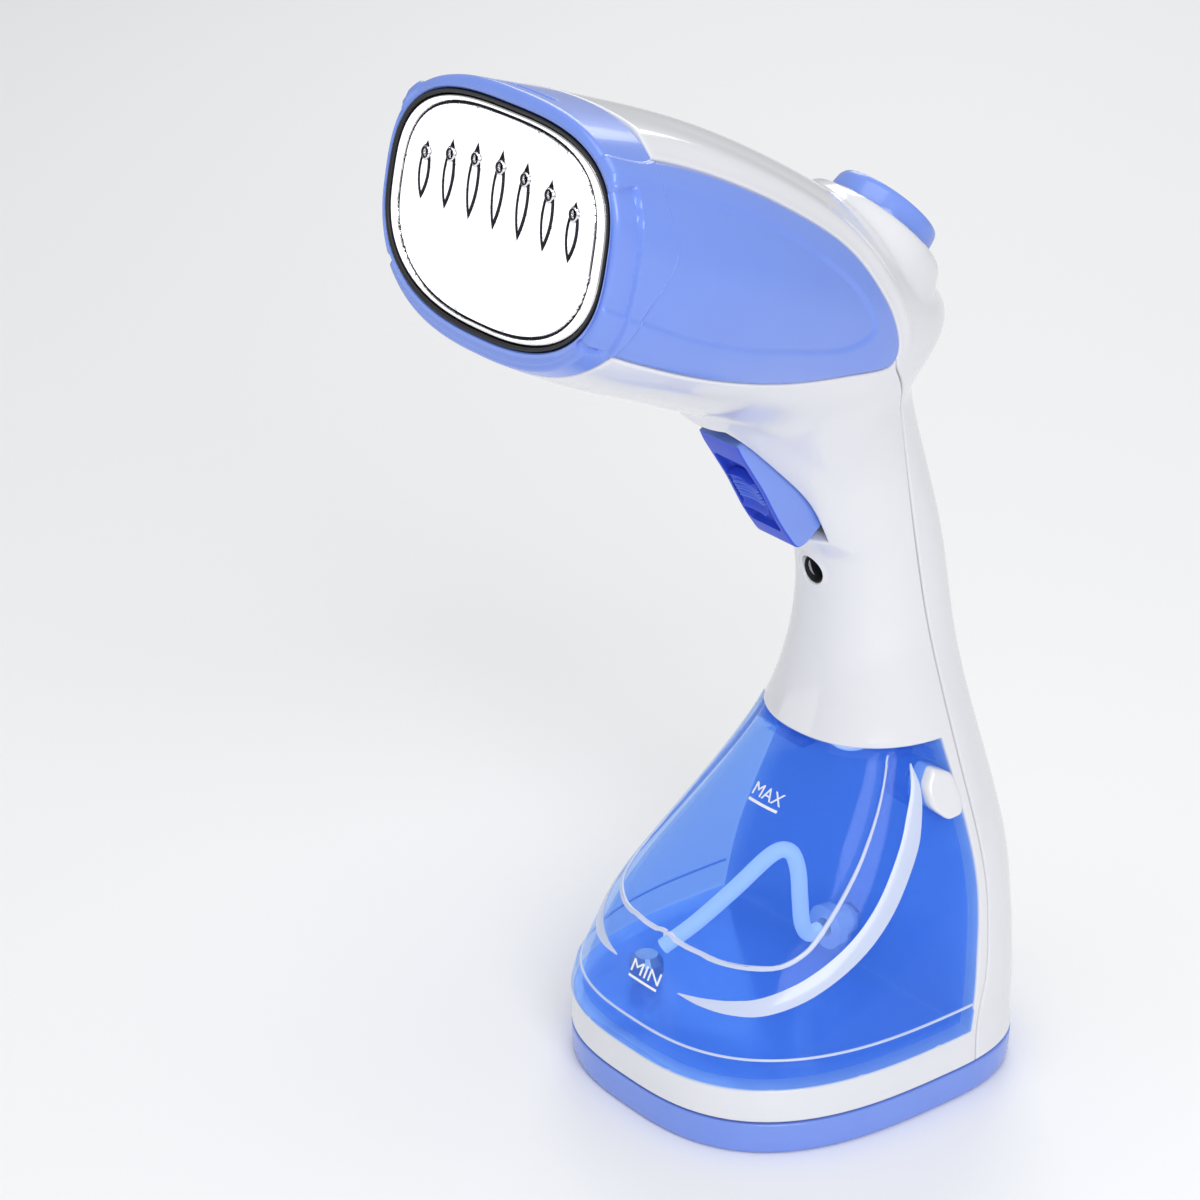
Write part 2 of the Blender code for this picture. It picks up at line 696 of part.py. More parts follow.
def make_dial():
    """Knob with its index ring and cap, on a shaft into the steam valve."""
    r = DIAL_RADIUS
    h = DIAL_HEIGHT
    low = GAP
    bore = DIAL_SHAFT_RADIUS + GAP
    knob = [
        (0, h - 0.0016),
        (0.0121, h - 0.0016),
        (0.0121, h),
        (0.0128, h),
        (0.0141, h - 0.0012),
        (0.0144, 0.0030),
        (r, 0.0016),
        (r, low),
        (bore, low),
        (bore, h - 0.0024),
        (0, h - 0.0024),
    ]
    turned("dial_knob", knob, dial_frame(), BLUE, 28)
    ring_low = h - 0.0016 + GAP
    ring = [(0.0118, h + 0.0004), (0.0118, ring_low), (0.0096, ring_low), (0.0096, h + 0.0004)]
    turned("dial_ring", ring, dial_frame(), WHITE, 28)
    cap = [(0, h + 0.0002), (0.0085, h + 0.0002), (0.0093, h - 0.0003), (0.0093, ring_low), (0, ring_low)]
    turned("dial_cap", cap, dial_frame(), BLUE, 28)
    cylinder("dial_shaft", DIAL_SHAFT_RADIUS, -0.0130, h - 0.0024 - GAP, dial_frame(), STEEL, 16)
    valve = cylinder("steam_valve", 0.0090, -0.0215, -0.0075, dial_frame(), DARK, 20)
    combine(valve, cylinder("valve_bore", DIAL_SHAFT_RADIUS + GAP, -0.0145, 0.0, dial_frame(), None, 20))


# ---------------------------------------------------------------- trigger and switch


def pivot_frame():
    """Local Z along X, on the trigger's hinge."""
    return Matrix.Translation((0, *TRIGGER_PIVOT)) @ Matrix.Rotation(math.pi / 2, 4, "Y")


def lock_frame():
    """On the trigger's front face: local Y up the face, local Z out of it."""
    return frame((0, *LOCK_CENTRE), math.radians(90) + LOCK_TURN)


def make_trigger():
    y, z = TRIGGER_PIVOT
    local = [(a - y, b - z) for a, b in TRIGGER_OUTLINE]
    trigger = prism("trigger", local, -TRIGGER_HALF_WIDTH, TRIGGER_HALF_WIDTH, BLUE)
    trigger.location = (0, y, z)
    combine(trigger, cylinder("pivot_bore", TRIGGER_PIN_RADIUS + GAP / 2, -0.02, 0.02, pivot_frame()))
    half = (0.0046, LOCK_LENGTH / 2 + 0.0034)
    pocket = box("lock_pocket", (-half[0], -half[1], -0.0030), (half[0], half[1], 0.01), None, lock_frame())
    combine(trigger, pocket)
    cylinder("trigger_pin", TRIGGER_PIN_RADIUS - GAP / 2, -0.0110, 0.0110, pivot_frame(), STEEL, 16)
    low = (-0.0043, -LOCK_LENGTH / 2, -0.0027)
    high = (0.0043, LOCK_LENGTH / 2 - 0.0030, 0.0)
    lock = box("trigger_lock", low, high, DEEP_BLUE, lock_frame())
    for i in range(5):
        rib_y = -0.0052 + i * 0.0020
        corners = ((-0.0040, rib_y, -0.001), (0.0040, rib_y + 0.0009, 0.0006))
        rib = box(f"lock_rib_{i}", *corners, None, lock_frame())
        combine(lock, rib, "UNION")


def make_switch():
    height = 0.1570
    body = box("switch_body", (-0.0032, 0.0080, 0.1480), (0.0032, 0.0185, 0.1655), DARK)
    combine(body, cylinder("plunger_bore", 0.0018, 0.0, 0.0165, along_y(0, 0, height), None, 16))
    cylinder("switch_plunger", 0.0015, 0.0042, 0.0125, along_y(0, 0, height), SILICONE, 12)
    shelf = box("switch_bracket", (-0.0115, 0.0086, 0.1660), (0.0115, 0.0186, 0.1676), WHITE)
    plate = box("bracket_plate", (-0.0115, 0.0086, 0.1665), (0.0115, 0.0102, 0.1780))
    combine(shelf, plate, "UNION")
    spring = along_y(0, -0.0046, 0.1722)
    tube("trigger_spring", helix_points(0.0026, 0.0128, 5), 0.0003, STEEL, spring, 1)


# ---------------------------------------------------------------- water tank


def make_tank():
    """Translucent tank, with its filler, outlet and release-button pockets."""
    tank = loft_copy("tank_shell", TANK_BLUE)
    combine(tank, tank_region("tank_keep", 0.0, DECK_TOP + GAP, TANK_CEILING - GAP), "INTERSECT")
    hollow = casing_form("form_tank_inside", TANK_WALL)
    low = DECK_TOP + GAP + TANK_WALL
    high = TANK_CEILING - GAP - TANK_WALL
    combine(hollow, tank_region("tank_hollow_keep", -TANK_WALL, low, high), "INTERSECT")
    y, z = BUTTON_CENTRE
    width, height = BUTTON_SIZE
    for side in (1, -1):
        near, far = sorted((side * (POCKET_FLOOR_X - 0.0015), side * 0.06))
        room = 0.0018
        low_corner = (near, y - width / 2 - room, z - height / 2 - room)
        high_corner = (far, y + width / 2 + 0.01, z + height / 2 + room)
        combine(hollow, box(f"keep_pocket_{side}", low_corner, high_corner))
    combine(tank, hollow)
    combine(tank, cylinder("filler_hole", 0.0060, 0.085, 0.10, frame((*FILLER_PLACE, 0))))
    outlet = along_y(0, 0, VALVE_HEIGHT)
    combine(tank, cylinder("outlet_hole", 0.0045, 0.010, 0.05, outlet))
    for side in (1, -1):
        near, far = sorted((side * POCKET_FLOOR_X, side * 0.06))
        combine(tank, prism(f"pocket_{side}", button_outline(GAP), near, far))
    plug = [(0, -GAP), (0.0056, -GAP), (0.0056, -0.0034), (0.0046, -0.0042), (0, -0.0042)]
    turned("filler_plug", plug, frame((*FILLER_PLACE, TANK_CEILING - GAP)), SILICONE, 24)
    valve = [(0.0042, 0.0221), (0.0042, 0.0170), (0.0062, 0.0170), (0.0062, 0.0140)]
    valve += [(0.0026, 0.0140), (0.0026, 0.0221)]
    turned("tank_valve", valve, outlet, WHITE, 20)
    nose = [(0.0020, 0.0185), (0.0020, 0.0232), (0.0041, 0.0232), (0.0041, 0.0300)]
    nose += [(0.0020, 0.0300), (0.0020, 0.0330), (0.0010, 0.0330), (0.0010, 0.0185)]
    turned("tank_coupling", nose[::-1], outlet, DARK, 20)
    route = [(0, 0.0120, 0.0300), (0, 0.0085, 0.0300), (0, 0.0060, 0.0340), (0, 0.0050, 0.0420)]
    route += [(0, 0.0040, 0.0510), (-0.0010, 0.0020, 0.0565), (-0.0035, -0.0020, 0.0560)]
    route += [(-0.0090, -0.0100, 0.0460), (-0.0150, -0.0180, 0.0360), (-0.0200, -0.0250, 0.0290)]
    tube("dip_hose", through_points(route, 2), 0.0022, SILICONE)
    filter_frame = frame((-0.0225, -0.0285, 0.0219))
    sinker = [(0, 0.0050), (0.0030, 0.0050), (0.0045, 0.0030), (0.0045, 0), (0, 0)]
    turned("inlet_filter", sinker, filter_frame, STEEL, 16)


def button_outline(grow):
    """Six-sided face of a release button, as (y, z)."""
    y, z = BUTTON_CENTRE
    a = BUTTON_SIZE[0] / 2 + grow
    b = BUTTON_SIZE[1] / 2 + grow
    return [
        (y - a, z + b * 0.35),
        (y - a, z - b * 0.45),
        (y - a * 0.25, z - b),
        (y + a * 0.75, z - b * 0.95),
        (y + a, z - b * 0.4),
        (y + a * 0.8, z + b * 0.6),
        (y - a * 0.35, z + b),
    ]


def make_release_buttons():
    for side, name in ((1, "left"), (-1, "right")):
        near, far = sorted((side * BUTTON_INNER_X, side * 0.06))
        button = prism(f"release_button_{name}", button_outline(-GAP), near, far, WHITE)
        combine(button, bpy.data.objects["form_button"], "INTERSECT")
        y, z = BUTTON_CENTRE
        turn = Matrix.Rotation(side * math.pi / 2, 4, "Y")
        place = Matrix.Translation((side * (POCKET_FLOOR_X + 0.0006), y, z)) @ turn
        length = BUTTON_INNER_X - POCKET_FLOOR_X - 0.0012
        tube(f"button_spring_{name}", helix_points(0.0024, length, 3), 0.00025, STEEL, place, 1)


# ---------------------------------------------------------------- base


def make_foot():
    """Blue tray under the base, with its pads and screws."""
    low = (-0.0528, 0.0, 0.0534, 0.0, 0.0502, 0.60, 2.75, 2.9)
    high = (-0.0536, FOOT_HEIGHT, 0.0542, FOOT_HEIGHT, 0.0506, 0.60, 2.75, 2.9)
    foot = loft("base_foot", [casing_section(low, 0.0), casing_section(high, 0.0)], BLUE)
    floor = (-0.0528, 0.0026, 0.0534, 0.0026, 0.0502, 0.60, 2.75, 2.9)
    over = (-0.0536, 0.0200, 0.0542, 0.0200, 0.0506, 0.60, 2.75, 2.9)
    combine(foot, loft("foot_hollow", [casing_section(floor, 0.0026), casing_section(over, 0.0026)]))
    for i, (x, y) in enumerate(FOOT_PADS):
        combine(foot, cylinder(f"pad_pocket_{i}", 0.0060, -0.01, 0.0015, frame((x, y, 0)), None, 16))
        cylinder(f"foot_pad_{i + 1}", 0.0057, 0.0, 0.0012, frame((x, y, 0)), GREY_RUBBER, 16)
    for i, (x, y) in enumerate(FOOT_SCREWS):
        post = cylinder(f"foot_post_{i}", POST_RADIUS, 0.0010, FOOT_HEIGHT, frame((x, y, 0)), None, 12)
        combine(foot, post, "UNION")
    for i, (x, y) in enumerate(FOOT_SCREWS):
        combine(foot, cylinder(f"foot_bore_{i}", 0.0018, -0.01, 0.02, frame((x, y, 0)), None, 12))
        combine(foot, cylinder(f"foot_sink_{i}", 0.0031, -0.01, SINK_DEPTH, frame((x, y, 0)), None, 12))
        place = frame((x, y, SINK_DEPTH - GAP), math.pi)
        screw(f"base_screw_{i + 1}", place, BASE_SCREW_LENGTH)


def screw(name, place, length, sides=12):
    """Pan-head screw with a cross recess; local Z points out of its head, which ends at the origin."""
    head = [(0, 0.0020), (0.0018, 0.0020), (0.0027, 0.0010), (0.0027, 0), (0.0015, 0)]
    head += [(0.0015, -length + 0.001), (0.0008, -length), (0, -length)]
    made = turned(name, head, place, STEEL, sides)
    for i in range(2):
        turn = place @ Matrix.Rotation(i * math.pi / 2, 4, "Z")
        slot = box(f"{name}_slot_{i}", (-0.0015, -0.0003, 0.0008), (0.0015, 0.0003, 0.003), None, turn)
        combine(made, slot)
    return made


def make_handle_screw():
    place = frame((0, SCREW_HEAD_Y - GAP, SCREW_HEIGHT), math.radians(90))
    screw("handle_screw", place, HANDLE_SCREW_LENGTH)


# ---------------------------------------------------------------- works in the rear of the base


def make_pump():
    """Vibration pump: a barrel through its coil."""
    x, y = -0.0160, 0.0388
    spigot = 0.0020
    barrel = [(0, 0.0800), (spigot, 0.0800), (spigot, 0.0740), (0.0060, 0.0740)]
    barrel += [(0.0060, 0.0400), (spigot, 0.0400), (spigot, 0.0350), (0, 0.0350)]
    turned("pump_body", barrel, frame((x, y, 0)), WHITE, 20)
    coil = box("pump_coil", (x - 0.0095, y - 0.0073, 0.0480), (x + 0.0095, y + 0.0073, 0.0660), DARK)
    combine(coil, cylinder("coil_bore", 0.0063, 0.02, 0.09, frame((x, y, 0))))
    down = [(0, 0.0337, VALVE_HEIGHT), (-0.0005, 0.0350, 0.0299), (-0.0045, 0.0375, 0.0285)]
    down += [(-0.0105, 0.0388, 0.0272), (-0.0150, 0.0388, 0.0288), (x, y, 0.0345)]
    tube("suction_hose", through_points(down, 3), 0.0019, SILICONE)
    up = [(x, y, 0.0808), (-0.0165, 0.0405, 0.0880), (-0.0130, 0.0405, 0.1000)]
    up += [(-0.0105, 0.0370, 0.1180)]
    up += [(-0.0098, 0.0325, 0.1400), (-0.0098, 0.0265, 0.1620), (-0.0098, 0.0200, 0.1800)]
    up += [(-0.0080, 0.0080, 0.1960), (-0.0040, -0.0080, 0.2105), (0.0, -0.0190, 0.2172)]
    up += [head_frame(BOILER_CENTRE) @ Vector((0, BOILER_SIZE.y / 2 + 0.0006, 0))]
    tube("delivery_hose", through_points(up, 2), 0.0019, SILICONE)


def make_electrics():
    board = box("control_board", (0.0030, 0.0410, 0.0340), (0.0260, 0.0426, 0.0740), BOARD_GREEN)
    relay = box("relay", (0.0050, 0.0340, 0.0380), (0.0150, 0.0415, 0.0540))
    terminal = box("terminal", (0.0060, 0.0360, 0.0600), (0.0200, 0.0415, 0.0680))
    combine(board, relay, "UNION")
    combine(board, terminal, "UNION")
    capacitor = cylinder("capacitor", 0.0040, 0.0330, 0.0415, along_y(0.0205, 0, 0.0460), None, 16)
    combine(board, capacitor, "UNION")
    up = [(0.0140, 0.0418, 0.0765), (0.0140, 0.0415, 0.0880), (0.0125, 0.0400, 0.1000)]
    up += [(0.0105, 0.0370, 0.1180), (0.0098, 0.0325, 0.1400), (0.0098, 0.0265, 0.1620)]
    up += [(0.0098, 0.0210, 0.1780), (0.0150, 0.0060, 0.2000), (0.0180, -0.0080, 0.2150)]
    up += [(0.0180, -0.0200, 0.2280)]
    tube("wiring_loom", through_points(up, 2), 0.0018, DARK)
    wall = 0.0545
    gland = [(0.0056, wall + 0.0008), (0.0056, wall - 0.0045), (0.0075, wall - 0.0045)]
    gland += [(0.0075, wall - 0.0065), (0.0036, wall - 0.0065), (0.0036, wall + 0.0008)]
    turned("cord_gland", gland, along_y(0, 0, GLAND_HEIGHT), BLACK_RUBBER, 24)


def main():
    make_forms()
    casing_form("form_button", -0.0006)
    for side in (1, -1):
        panel_recess(side)
    make_cavity()
    make_front_housing()
    make_rear_cover()
    make_side_panels()
    make_bezel()
    make_steam_plate()
    make_steam_chamber()
    make_boiler()
    make_steam_tube()
    make_dial()
    make_trigger()
    make_switch()
    make_handle_screw()
    make_tank()
    make_release_buttons()
    make_foot()
    make_pump()
    make_electrics()


main()
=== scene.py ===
"""Handheld garment steamer: the looks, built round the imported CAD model.

Metres, in the CAD's frame: +Z up, the steamer faces -Y and its left side is +X. The casing is one smooth
form, symmetric about X = 0. Each shell is one half of that form, cut along its seams with rounded edges,
and its mirror image.
"""
import json
import math

import bmesh
import bpy
import numpy as np
from mathutils import Matrix, Vector
from mathutils.bvhtree import BVHTree


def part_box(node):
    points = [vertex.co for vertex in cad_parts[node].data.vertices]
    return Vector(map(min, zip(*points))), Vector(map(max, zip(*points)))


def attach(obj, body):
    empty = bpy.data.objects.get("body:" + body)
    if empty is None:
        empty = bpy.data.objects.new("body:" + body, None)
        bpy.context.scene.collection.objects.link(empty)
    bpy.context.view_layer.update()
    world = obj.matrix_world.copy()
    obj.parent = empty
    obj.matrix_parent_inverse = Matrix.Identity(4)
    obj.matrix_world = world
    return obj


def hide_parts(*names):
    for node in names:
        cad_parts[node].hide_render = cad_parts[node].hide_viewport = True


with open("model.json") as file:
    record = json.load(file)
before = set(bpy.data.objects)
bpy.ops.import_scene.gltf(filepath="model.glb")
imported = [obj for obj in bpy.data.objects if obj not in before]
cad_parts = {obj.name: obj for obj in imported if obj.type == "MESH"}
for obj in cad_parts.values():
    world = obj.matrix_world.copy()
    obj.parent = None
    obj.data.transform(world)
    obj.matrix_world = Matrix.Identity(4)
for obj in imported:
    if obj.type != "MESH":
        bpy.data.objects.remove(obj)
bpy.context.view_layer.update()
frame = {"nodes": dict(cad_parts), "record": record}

# ---------------------------------------------------------------- driving dimensions

SEAM = 0.00044  # width of the gap between two shells
EDGE = 0.00055  # radius of a shell's rounded edge
SHELL = 0.0022  # thickness of a shell
TANK_WALL = 0.0020
PANEL_WALL = 0.0014
BEZEL_WALL = SHELL * 1.4
COLUMNS = 104  # columns of the grid on one half of the casing
ROWS = 13  # rows of that grid between two stations
FINER = 1.3  # how much finer the grid is for the panels and the tank
ROUNDING = (0, 0.076, 0.293, 0.617, 1)  # where a rounded edge has its rows, as shares of its radius
CREASE = 38  # faces that meet at more than so many degrees show an edge
PRINT_LIFT = 0.00006  # how far a print stands over the surface it lies on
SIDES = ((1, "left"), (-1, "right"))
ALONG_Y = Matrix.Rotation(math.radians(-90), 4, "X")  # turns local Z to +Y

FOOT_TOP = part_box("base_foot")[1].z + 0.00015
DECK_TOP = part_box("tank_shell")[0].z - 0.00015
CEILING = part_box("tank_shell")[1].z + 0.00015

# Stations of the casing, from the base ring up the handle and forward along the head: front y and z,
# rear y and z, half width, where between front and rear the section is widest, and the roundness
# exponents of its front and rear halves (2 is an ellipse).
STATIONS = np.array([
    (-0.0536, 0.0098, 0.0542, 0.0098, 0.0506, 0.60, 2.75, 2.90),
    (-0.0533, 0.0190, 0.0543, 0.0190, 0.0498, 0.60, 2.75, 2.90),
    (-0.0506, 0.0300, 0.0548, 0.0300, 0.0492, 0.61, 2.60, 2.80),
    (-0.0428, 0.0450, 0.0556, 0.0450, 0.0466, 0.62, 2.40, 2.60),
    (-0.0265, 0.0600, 0.0553, 0.0600, 0.0420, 0.62, 2.35, 2.50),
    (-0.0115, 0.0750, 0.0536, 0.0750, 0.0356, 0.61, 2.30, 2.40),
    (0.0006, 0.0930, 0.0508, 0.0930, 0.0277, 0.58, 2.20, 2.30),
    (0.0064, 0.1150, 0.0480, 0.1150, 0.0204, 0.52, 2.20, 2.20),
    (0.0062, 0.1360, 0.0450, 0.1380, 0.0172, 0.50, 2.20, 2.20),
    (0.0008, 0.1505, 0.0404, 0.1570, 0.0166, 0.50, 2.10, 2.10),
    (-0.0055, 0.1610, 0.0360, 0.1720, 0.0170, 0.50, 2.10, 2.00),
    (-0.0145, 0.1710, 0.0335, 0.1825, 0.0194, 0.50, 2.10, 1.80),
    (-0.0240, 0.1805, 0.0360, 0.1900, 0.0230, 0.50, 2.10, 1.60),
    (-0.0315, 0.1866, 0.0440, 0.2005, 0.0270, 0.48, 2.10, 1.60),
    (-0.0370, 0.1905, 0.0368, 0.2106, 0.0305, 0.48, 2.10, 1.80),
    (-0.0435, 0.1938, 0.0225, 0.2245, 0.0340, 0.48, 2.15, 1.90),
    (-0.0515, 0.1972, 0.0080, 0.2365, 0.0370, 0.48, 2.20, 1.95),
    (-0.0610, 0.2017, -0.0130, 0.2502, 0.0405, 0.48, 2.30, 1.95),
    (-0.0725, 0.2069, -0.0370, 0.2630, 0.0430, 0.50, 2.45, 2.00),
    (-0.0846, 0.2125, -0.0610, 0.2724, 0.0442, 0.53, 2.55, 2.15),
    (-0.0988, 0.2204, -0.0867, 0.2806, 0.0436, 0.56, 2.60, 2.60),
])
LAST_ROW = len(STATIONS) - 1.0
# The stations between which the panels, the tank, its buttons and the bezel lie.
PANEL_ROWS = (10.0, LAST_ROW)
TANK_ROWS = (0.5, 6.6)
BUTTON_ROWS = (4.5, 6.5)
BEZEL_ROWS = (15.5, LAST_ROW)

# Seams, seen from the side as (y, z).
BEZEL_SEAM = [
    (-0.0580, 0.2980), (-0.0620, 0.2900), (-0.0680, 0.2750), (-0.0735, 0.2650), (-0.0744, 0.2505),
    (-0.0820, 0.2400), (-0.0870, 0.2315), (-0.0975, 0.2100), (-0.1030, 0.1990),
]
REAR_SEAM = [
    (-0.1200, 0.2580), (-0.0800, 0.2430), (-0.0400, 0.2260), (0.0000, 0.2065), (0.0065, 0.1990),
    (0.0170, 0.1850), (0.0215, 0.1730), (0.0250, 0.1520), (0.0283, 0.1300), (0.0310, 0.1060),
    (0.0316, 0.0800), (0.0312, 0.0600), (0.0298, 0.0480), (0.0275, 0.0340), (0.0240, 0.0220),
    (0.0220, 0.0000),
]
TANK_REAR = [
    (0.0262, 0.1100), (0.0272, 0.0950), (0.0282, 0.0780), (0.0283, 0.0680), (0.0278, 0.0590),
    (0.0264, 0.0500), (0.0242, 0.0395), (0.0222, 0.0274), (0.0200, 0.0150), (0.0180, 0.0050),
]
PANEL_EDGE = [
    (-0.1100, 0.2840), (-0.0800, 0.2710), (-0.0700, 0.2683), (-0.0524, 0.2608), (-0.0314, 0.2492),
    (-0.0111, 0.2347), (0.0006, 0.2192), (0.0048, 0.2105), (0.0057, 0.2050), (0.0040, 0.2020),
    (0.0000, 0.2015), (-0.0113, 0.2032), (-0.0341, 0.2070), (-0.0573, 0.2143), (-0.0789, 0.2236),
    (-0.0920, 0.2300), (-0.1200, 0.2440),
]
# The sunk middle of a side panel, which runs on across the bezel's side.
PANEL_MIDDLE = [
    (-0.1150, 0.2840), (-0.0950, 0.2740), (-0.0743, 0.2653), (-0.0573, 0.2581), (-0.0396, 0.2486),
    (-0.0248, 0.2386), (-0.0132, 0.2285), (-0.0071, 0.2208), (-0.0042, 0.2140), (-0.0085, 0.2112),
    (-0.0188, 0.2113), (-0.0388, 0.2169), (-0.0542, 0.2217), (-0.0690, 0.2278), (-0.0827, 0.2351),
    (-0.0939, 0.2408), (-0.1150, 0.2520),
]

# Steam plate; in its own frame Y runs up the plate and Z out of it.
PLATE_FRAME = Matrix.Translation((0, -0.0929, 0.25065)) @ Matrix.Rotation(math.radians(79), 4, "X")
PLATE_HALF_WIDTH = 0.0394
PLATE_HALF_HEIGHT = 0.0257
PLATE_POWERS = (3.0, 2.5)  # roundness exponents of its upper and lower halves
PLATE_SET_BACK = 0.0008
PLATE_POINTS = 360  # points of its outline
GASKET = 0.0009
JET_COUNT = 7
JET_PITCH = 0.0092
JET_RADIUS = 0.0010
JET_TOP = 0.0124
JET_FALL = 0.0035  # how far the outermost jets sit below the middle one

# Steam dial; in its own frame Z is its axis, pointing out, and angles run in degrees round it.
DIAL_FRAME = Matrix.Translation((0, 0.0238, 0.2243)) @ Matrix.Rotation(math.radians(-47), 4, "X")
DIAL_RADIUS = 0.0150
DIAL_HEIGHT = 0.0066
POINTER_ANGLE = 167
CRESCENT_ANGLES = (510, 248.6)  # where the printed crescent starts, thin, and where it ends
DOT_ANGLES = (248.6, 340, 33, 116, 153)  # where the settings lie
CRESCENT_WIDTHS = (0.0001, 0.0016)
DOT_RADIUS = 0.0004

# Trigger, seen from the side as (y, z).
TRIGGER_HALF_WIDTH = 0.0075
TRIGGER_GAP = 0.0004
TRIGGER_OUTLINE = [
    (-0.0256, 0.1804), (-0.0242, 0.1776), (-0.0210, 0.1726), (-0.0170, 0.1664), (-0.0140, 0.1610),
    (-0.0113, 0.1562), (-0.0082, 0.1516), (-0.0056, 0.1484), (-0.0030, 0.1482), (0.0005, 0.1504),
    (0.0030, 0.1530), (0.0034, 0.1575), (0.0012, 0.1625), (-0.0040, 0.1685), (-0.0092, 0.1755),
    (-0.0118, 0.1815), (-0.0128, 0.1860), (-0.0160, 0.1874), (-0.0192, 0.1862), (-0.0210, 0.1834),
]
TRIGGER_SLOT = [
    (-0.0340, 0.1838), (-0.0240, 0.1900), (0.0060, 0.1700), (0.0080, 0.1488), (-0.0140, 0.1462),
]
LOCK_FRAME = Matrix.Translation((0, -0.0163, 0.1644)) @ Matrix.Rotation(math.radians(121), 4, "X")
LOCK_LENGTH = 0.0150
LOCK_HALF_WIDTH = 0.0050
LOCK_BACK = -0.0027  # height of its back in LOCK_FRAME
RIB_COUNT = 5
RIB_RISE = 0.0008
RIBS_FROM, RIBS_TO = 0.26, 0.78  # shares of the lock's length between which the ribs lie
TRIGGER_HOLLOW = ((-0.0060, -0.0135, -0.0030), (0.0060, 0.0112, 0.01))  # two corners, in LOCK_FRAME

SCREW_HEIGHT = 0.1365
SCREW_WELL_RADIUS = 0.0036
GLAND_HEIGHT = 0.0240
GLAND_RADIUS = 0.0060
BUTTON_CENTRE = (0.0229, 0.0815)
BUTTON_SIZE = (0.0096, 0.0128)
BUTTON_INNER_X = 0.0255
BUTTON_EDGE = 0.0012  # radius of its rounded edge
BUTTON_PROUD = 0.0024  # how far it stands out of the tank's side
POCKET_FLOOR_X = 0.0200
FOOT_PADS = [(0.022, -0.040), (-0.022, -0.040), (0.038, 0.030), (-0.038, 0.030)]
PAD_HOLE = (0.0060, 0.0015)  # radius and depth, as for the screws
SCREW_HOLE = (0.0031, 0.0029)
FOOT_SCREWS = [(0.030, -0.026), (-0.030, -0.026), (0.026, 0.036), (-0.026, 0.036)]
# Each level mark's word, and where it runs from and to along Z and X.
LEVELS = [("MAX", (0.0752, 0.0790), (-0.0038, 0.0068)), ("MIN", (0.0360, 0.0400), (-0.0054, 0.0056))]
HOSE_RADIUS = 0.0022
HOSE_ROUTE = [
    (0, 0.0120, 0.0300), (0, 0.0085, 0.0300), (0, 0.0060, 0.0340), (0, 0.0050, 0.0420),
    (0, 0.0040, 0.0510), (-0.0010, 0.0020, 0.0565), (-0.0035, -0.0020, 0.0560),
    (-0.0090, -0.0100, 0.0460), (-0.0150, -0.0180, 0.0360), (-0.0200, -0.0250, 0.0290),
]


# ---------------------------------------------------------------- the casing's form


def bends(table):
    """Second derivatives of the natural cubic spline through evenly spaced rows."""
    count = len(table)
    system = np.eye(count)
    right = np.zeros_like(table)
    for i in range(1, count - 1):
        system[i, i - 1 : i + 2] = (1, 4, 1)
        right[i] = 6 * (table[i - 1] - 2 * table[i] + table[i + 1])
    return np.linalg.solve(system, right)


STATION_BENDS = bends(STATIONS)


def station_at(row):
    """The stations' spline, read at fractional row numbers."""
    low = np.clip(np.floor(row).astype(int), 0, len(STATIONS) - 2)
    t = (row - low)[:, None]
    s = 1 - t
    bent = (s**3 - s) * STATION_BENDS[low] + (t**3 - t) * STATION_BENDS[low + 1]
    return s * STATIONS[low] + t * STATIONS[low + 1] + bent / 6


def casing(place):
    """Points of the casing's form at (turn, row); turn runs once round from the front over +X."""
    table = station_at(np.clip(place[:, 1], 0, LAST_ROW))
    front, rear = table[:, 0:2], table[:, 2:4]
    half_width, widest = table[:, 4], table[:, 5]
    depth = np.linalg.norm(rear - front, axis=1)
    along = (rear - front) / depth[:, None]
    angle = 2 * math.pi * (place[:, 0] - 0.25)
    c, s = np.cos(angle), np.sin(angle)
    power = 2 / np.where(s < 0, table[:, 6], table[:, 7])
    across = half_width * np.sign(c) * np.abs(c) ** power
    reach = depth * np.where(s < 0, widest, 1 - widest) * np.sign(s) * np.abs(s) ** power
    middle = front + along * (depth * widest + reach)[:, None]
    return np.column_stack([across, middle])


def outward(place):
    """Unit normals of the casing's form at (turn, row)."""
    turn_step = np.array([0.0012, 0])
    higher = np.column_stack([place[:, 0], np.minimum(place[:, 1] + 0.02, LAST_ROW)])
    lower = np.column_stack([place[:, 0], np.maximum(place[:, 1] - 0.02, 0)])
    around = casing(place + turn_step) - casing(place - turn_step)
    normal = np.cross(around, casing(higher) - casing(lower))
    return normal / np.maximum(np.linalg.norm(normal, axis=1), 1e-12)[:, None]


# ---------------------------------------------------------------- fields: signed distances to seams


def smooth_path(points, steps=8):
    """A dense path through the points (Catmull-Rom)."""
    points = np.array(points, float)
    padded = np.vstack([2 * points[0] - points[1], points, 2 * points[-1] - points[-2]])
    t = (np.arange(steps) / steps)[:, None]
    found = []
    for a, b, c, d in zip(padded, padded[1:], padded[2:], padded[3:]):
        cubic = (3 * b - a - 3 * c + d) * t**3
        found.append(0.5 * (2 * b + (c - a) * t + (2 * a - 5 * b + 4 * c - d) * t**2 + cubic))
    return np.vstack([*found, points[-1:]])


def space_path(points, steps):
    """A dense path through points in space (Catmull-Rom)."""
    points = np.array(points)
    return np.column_stack([smooth_path(points[:, :2], steps), smooth_path(points[:, 1:], steps)[:, 1]])


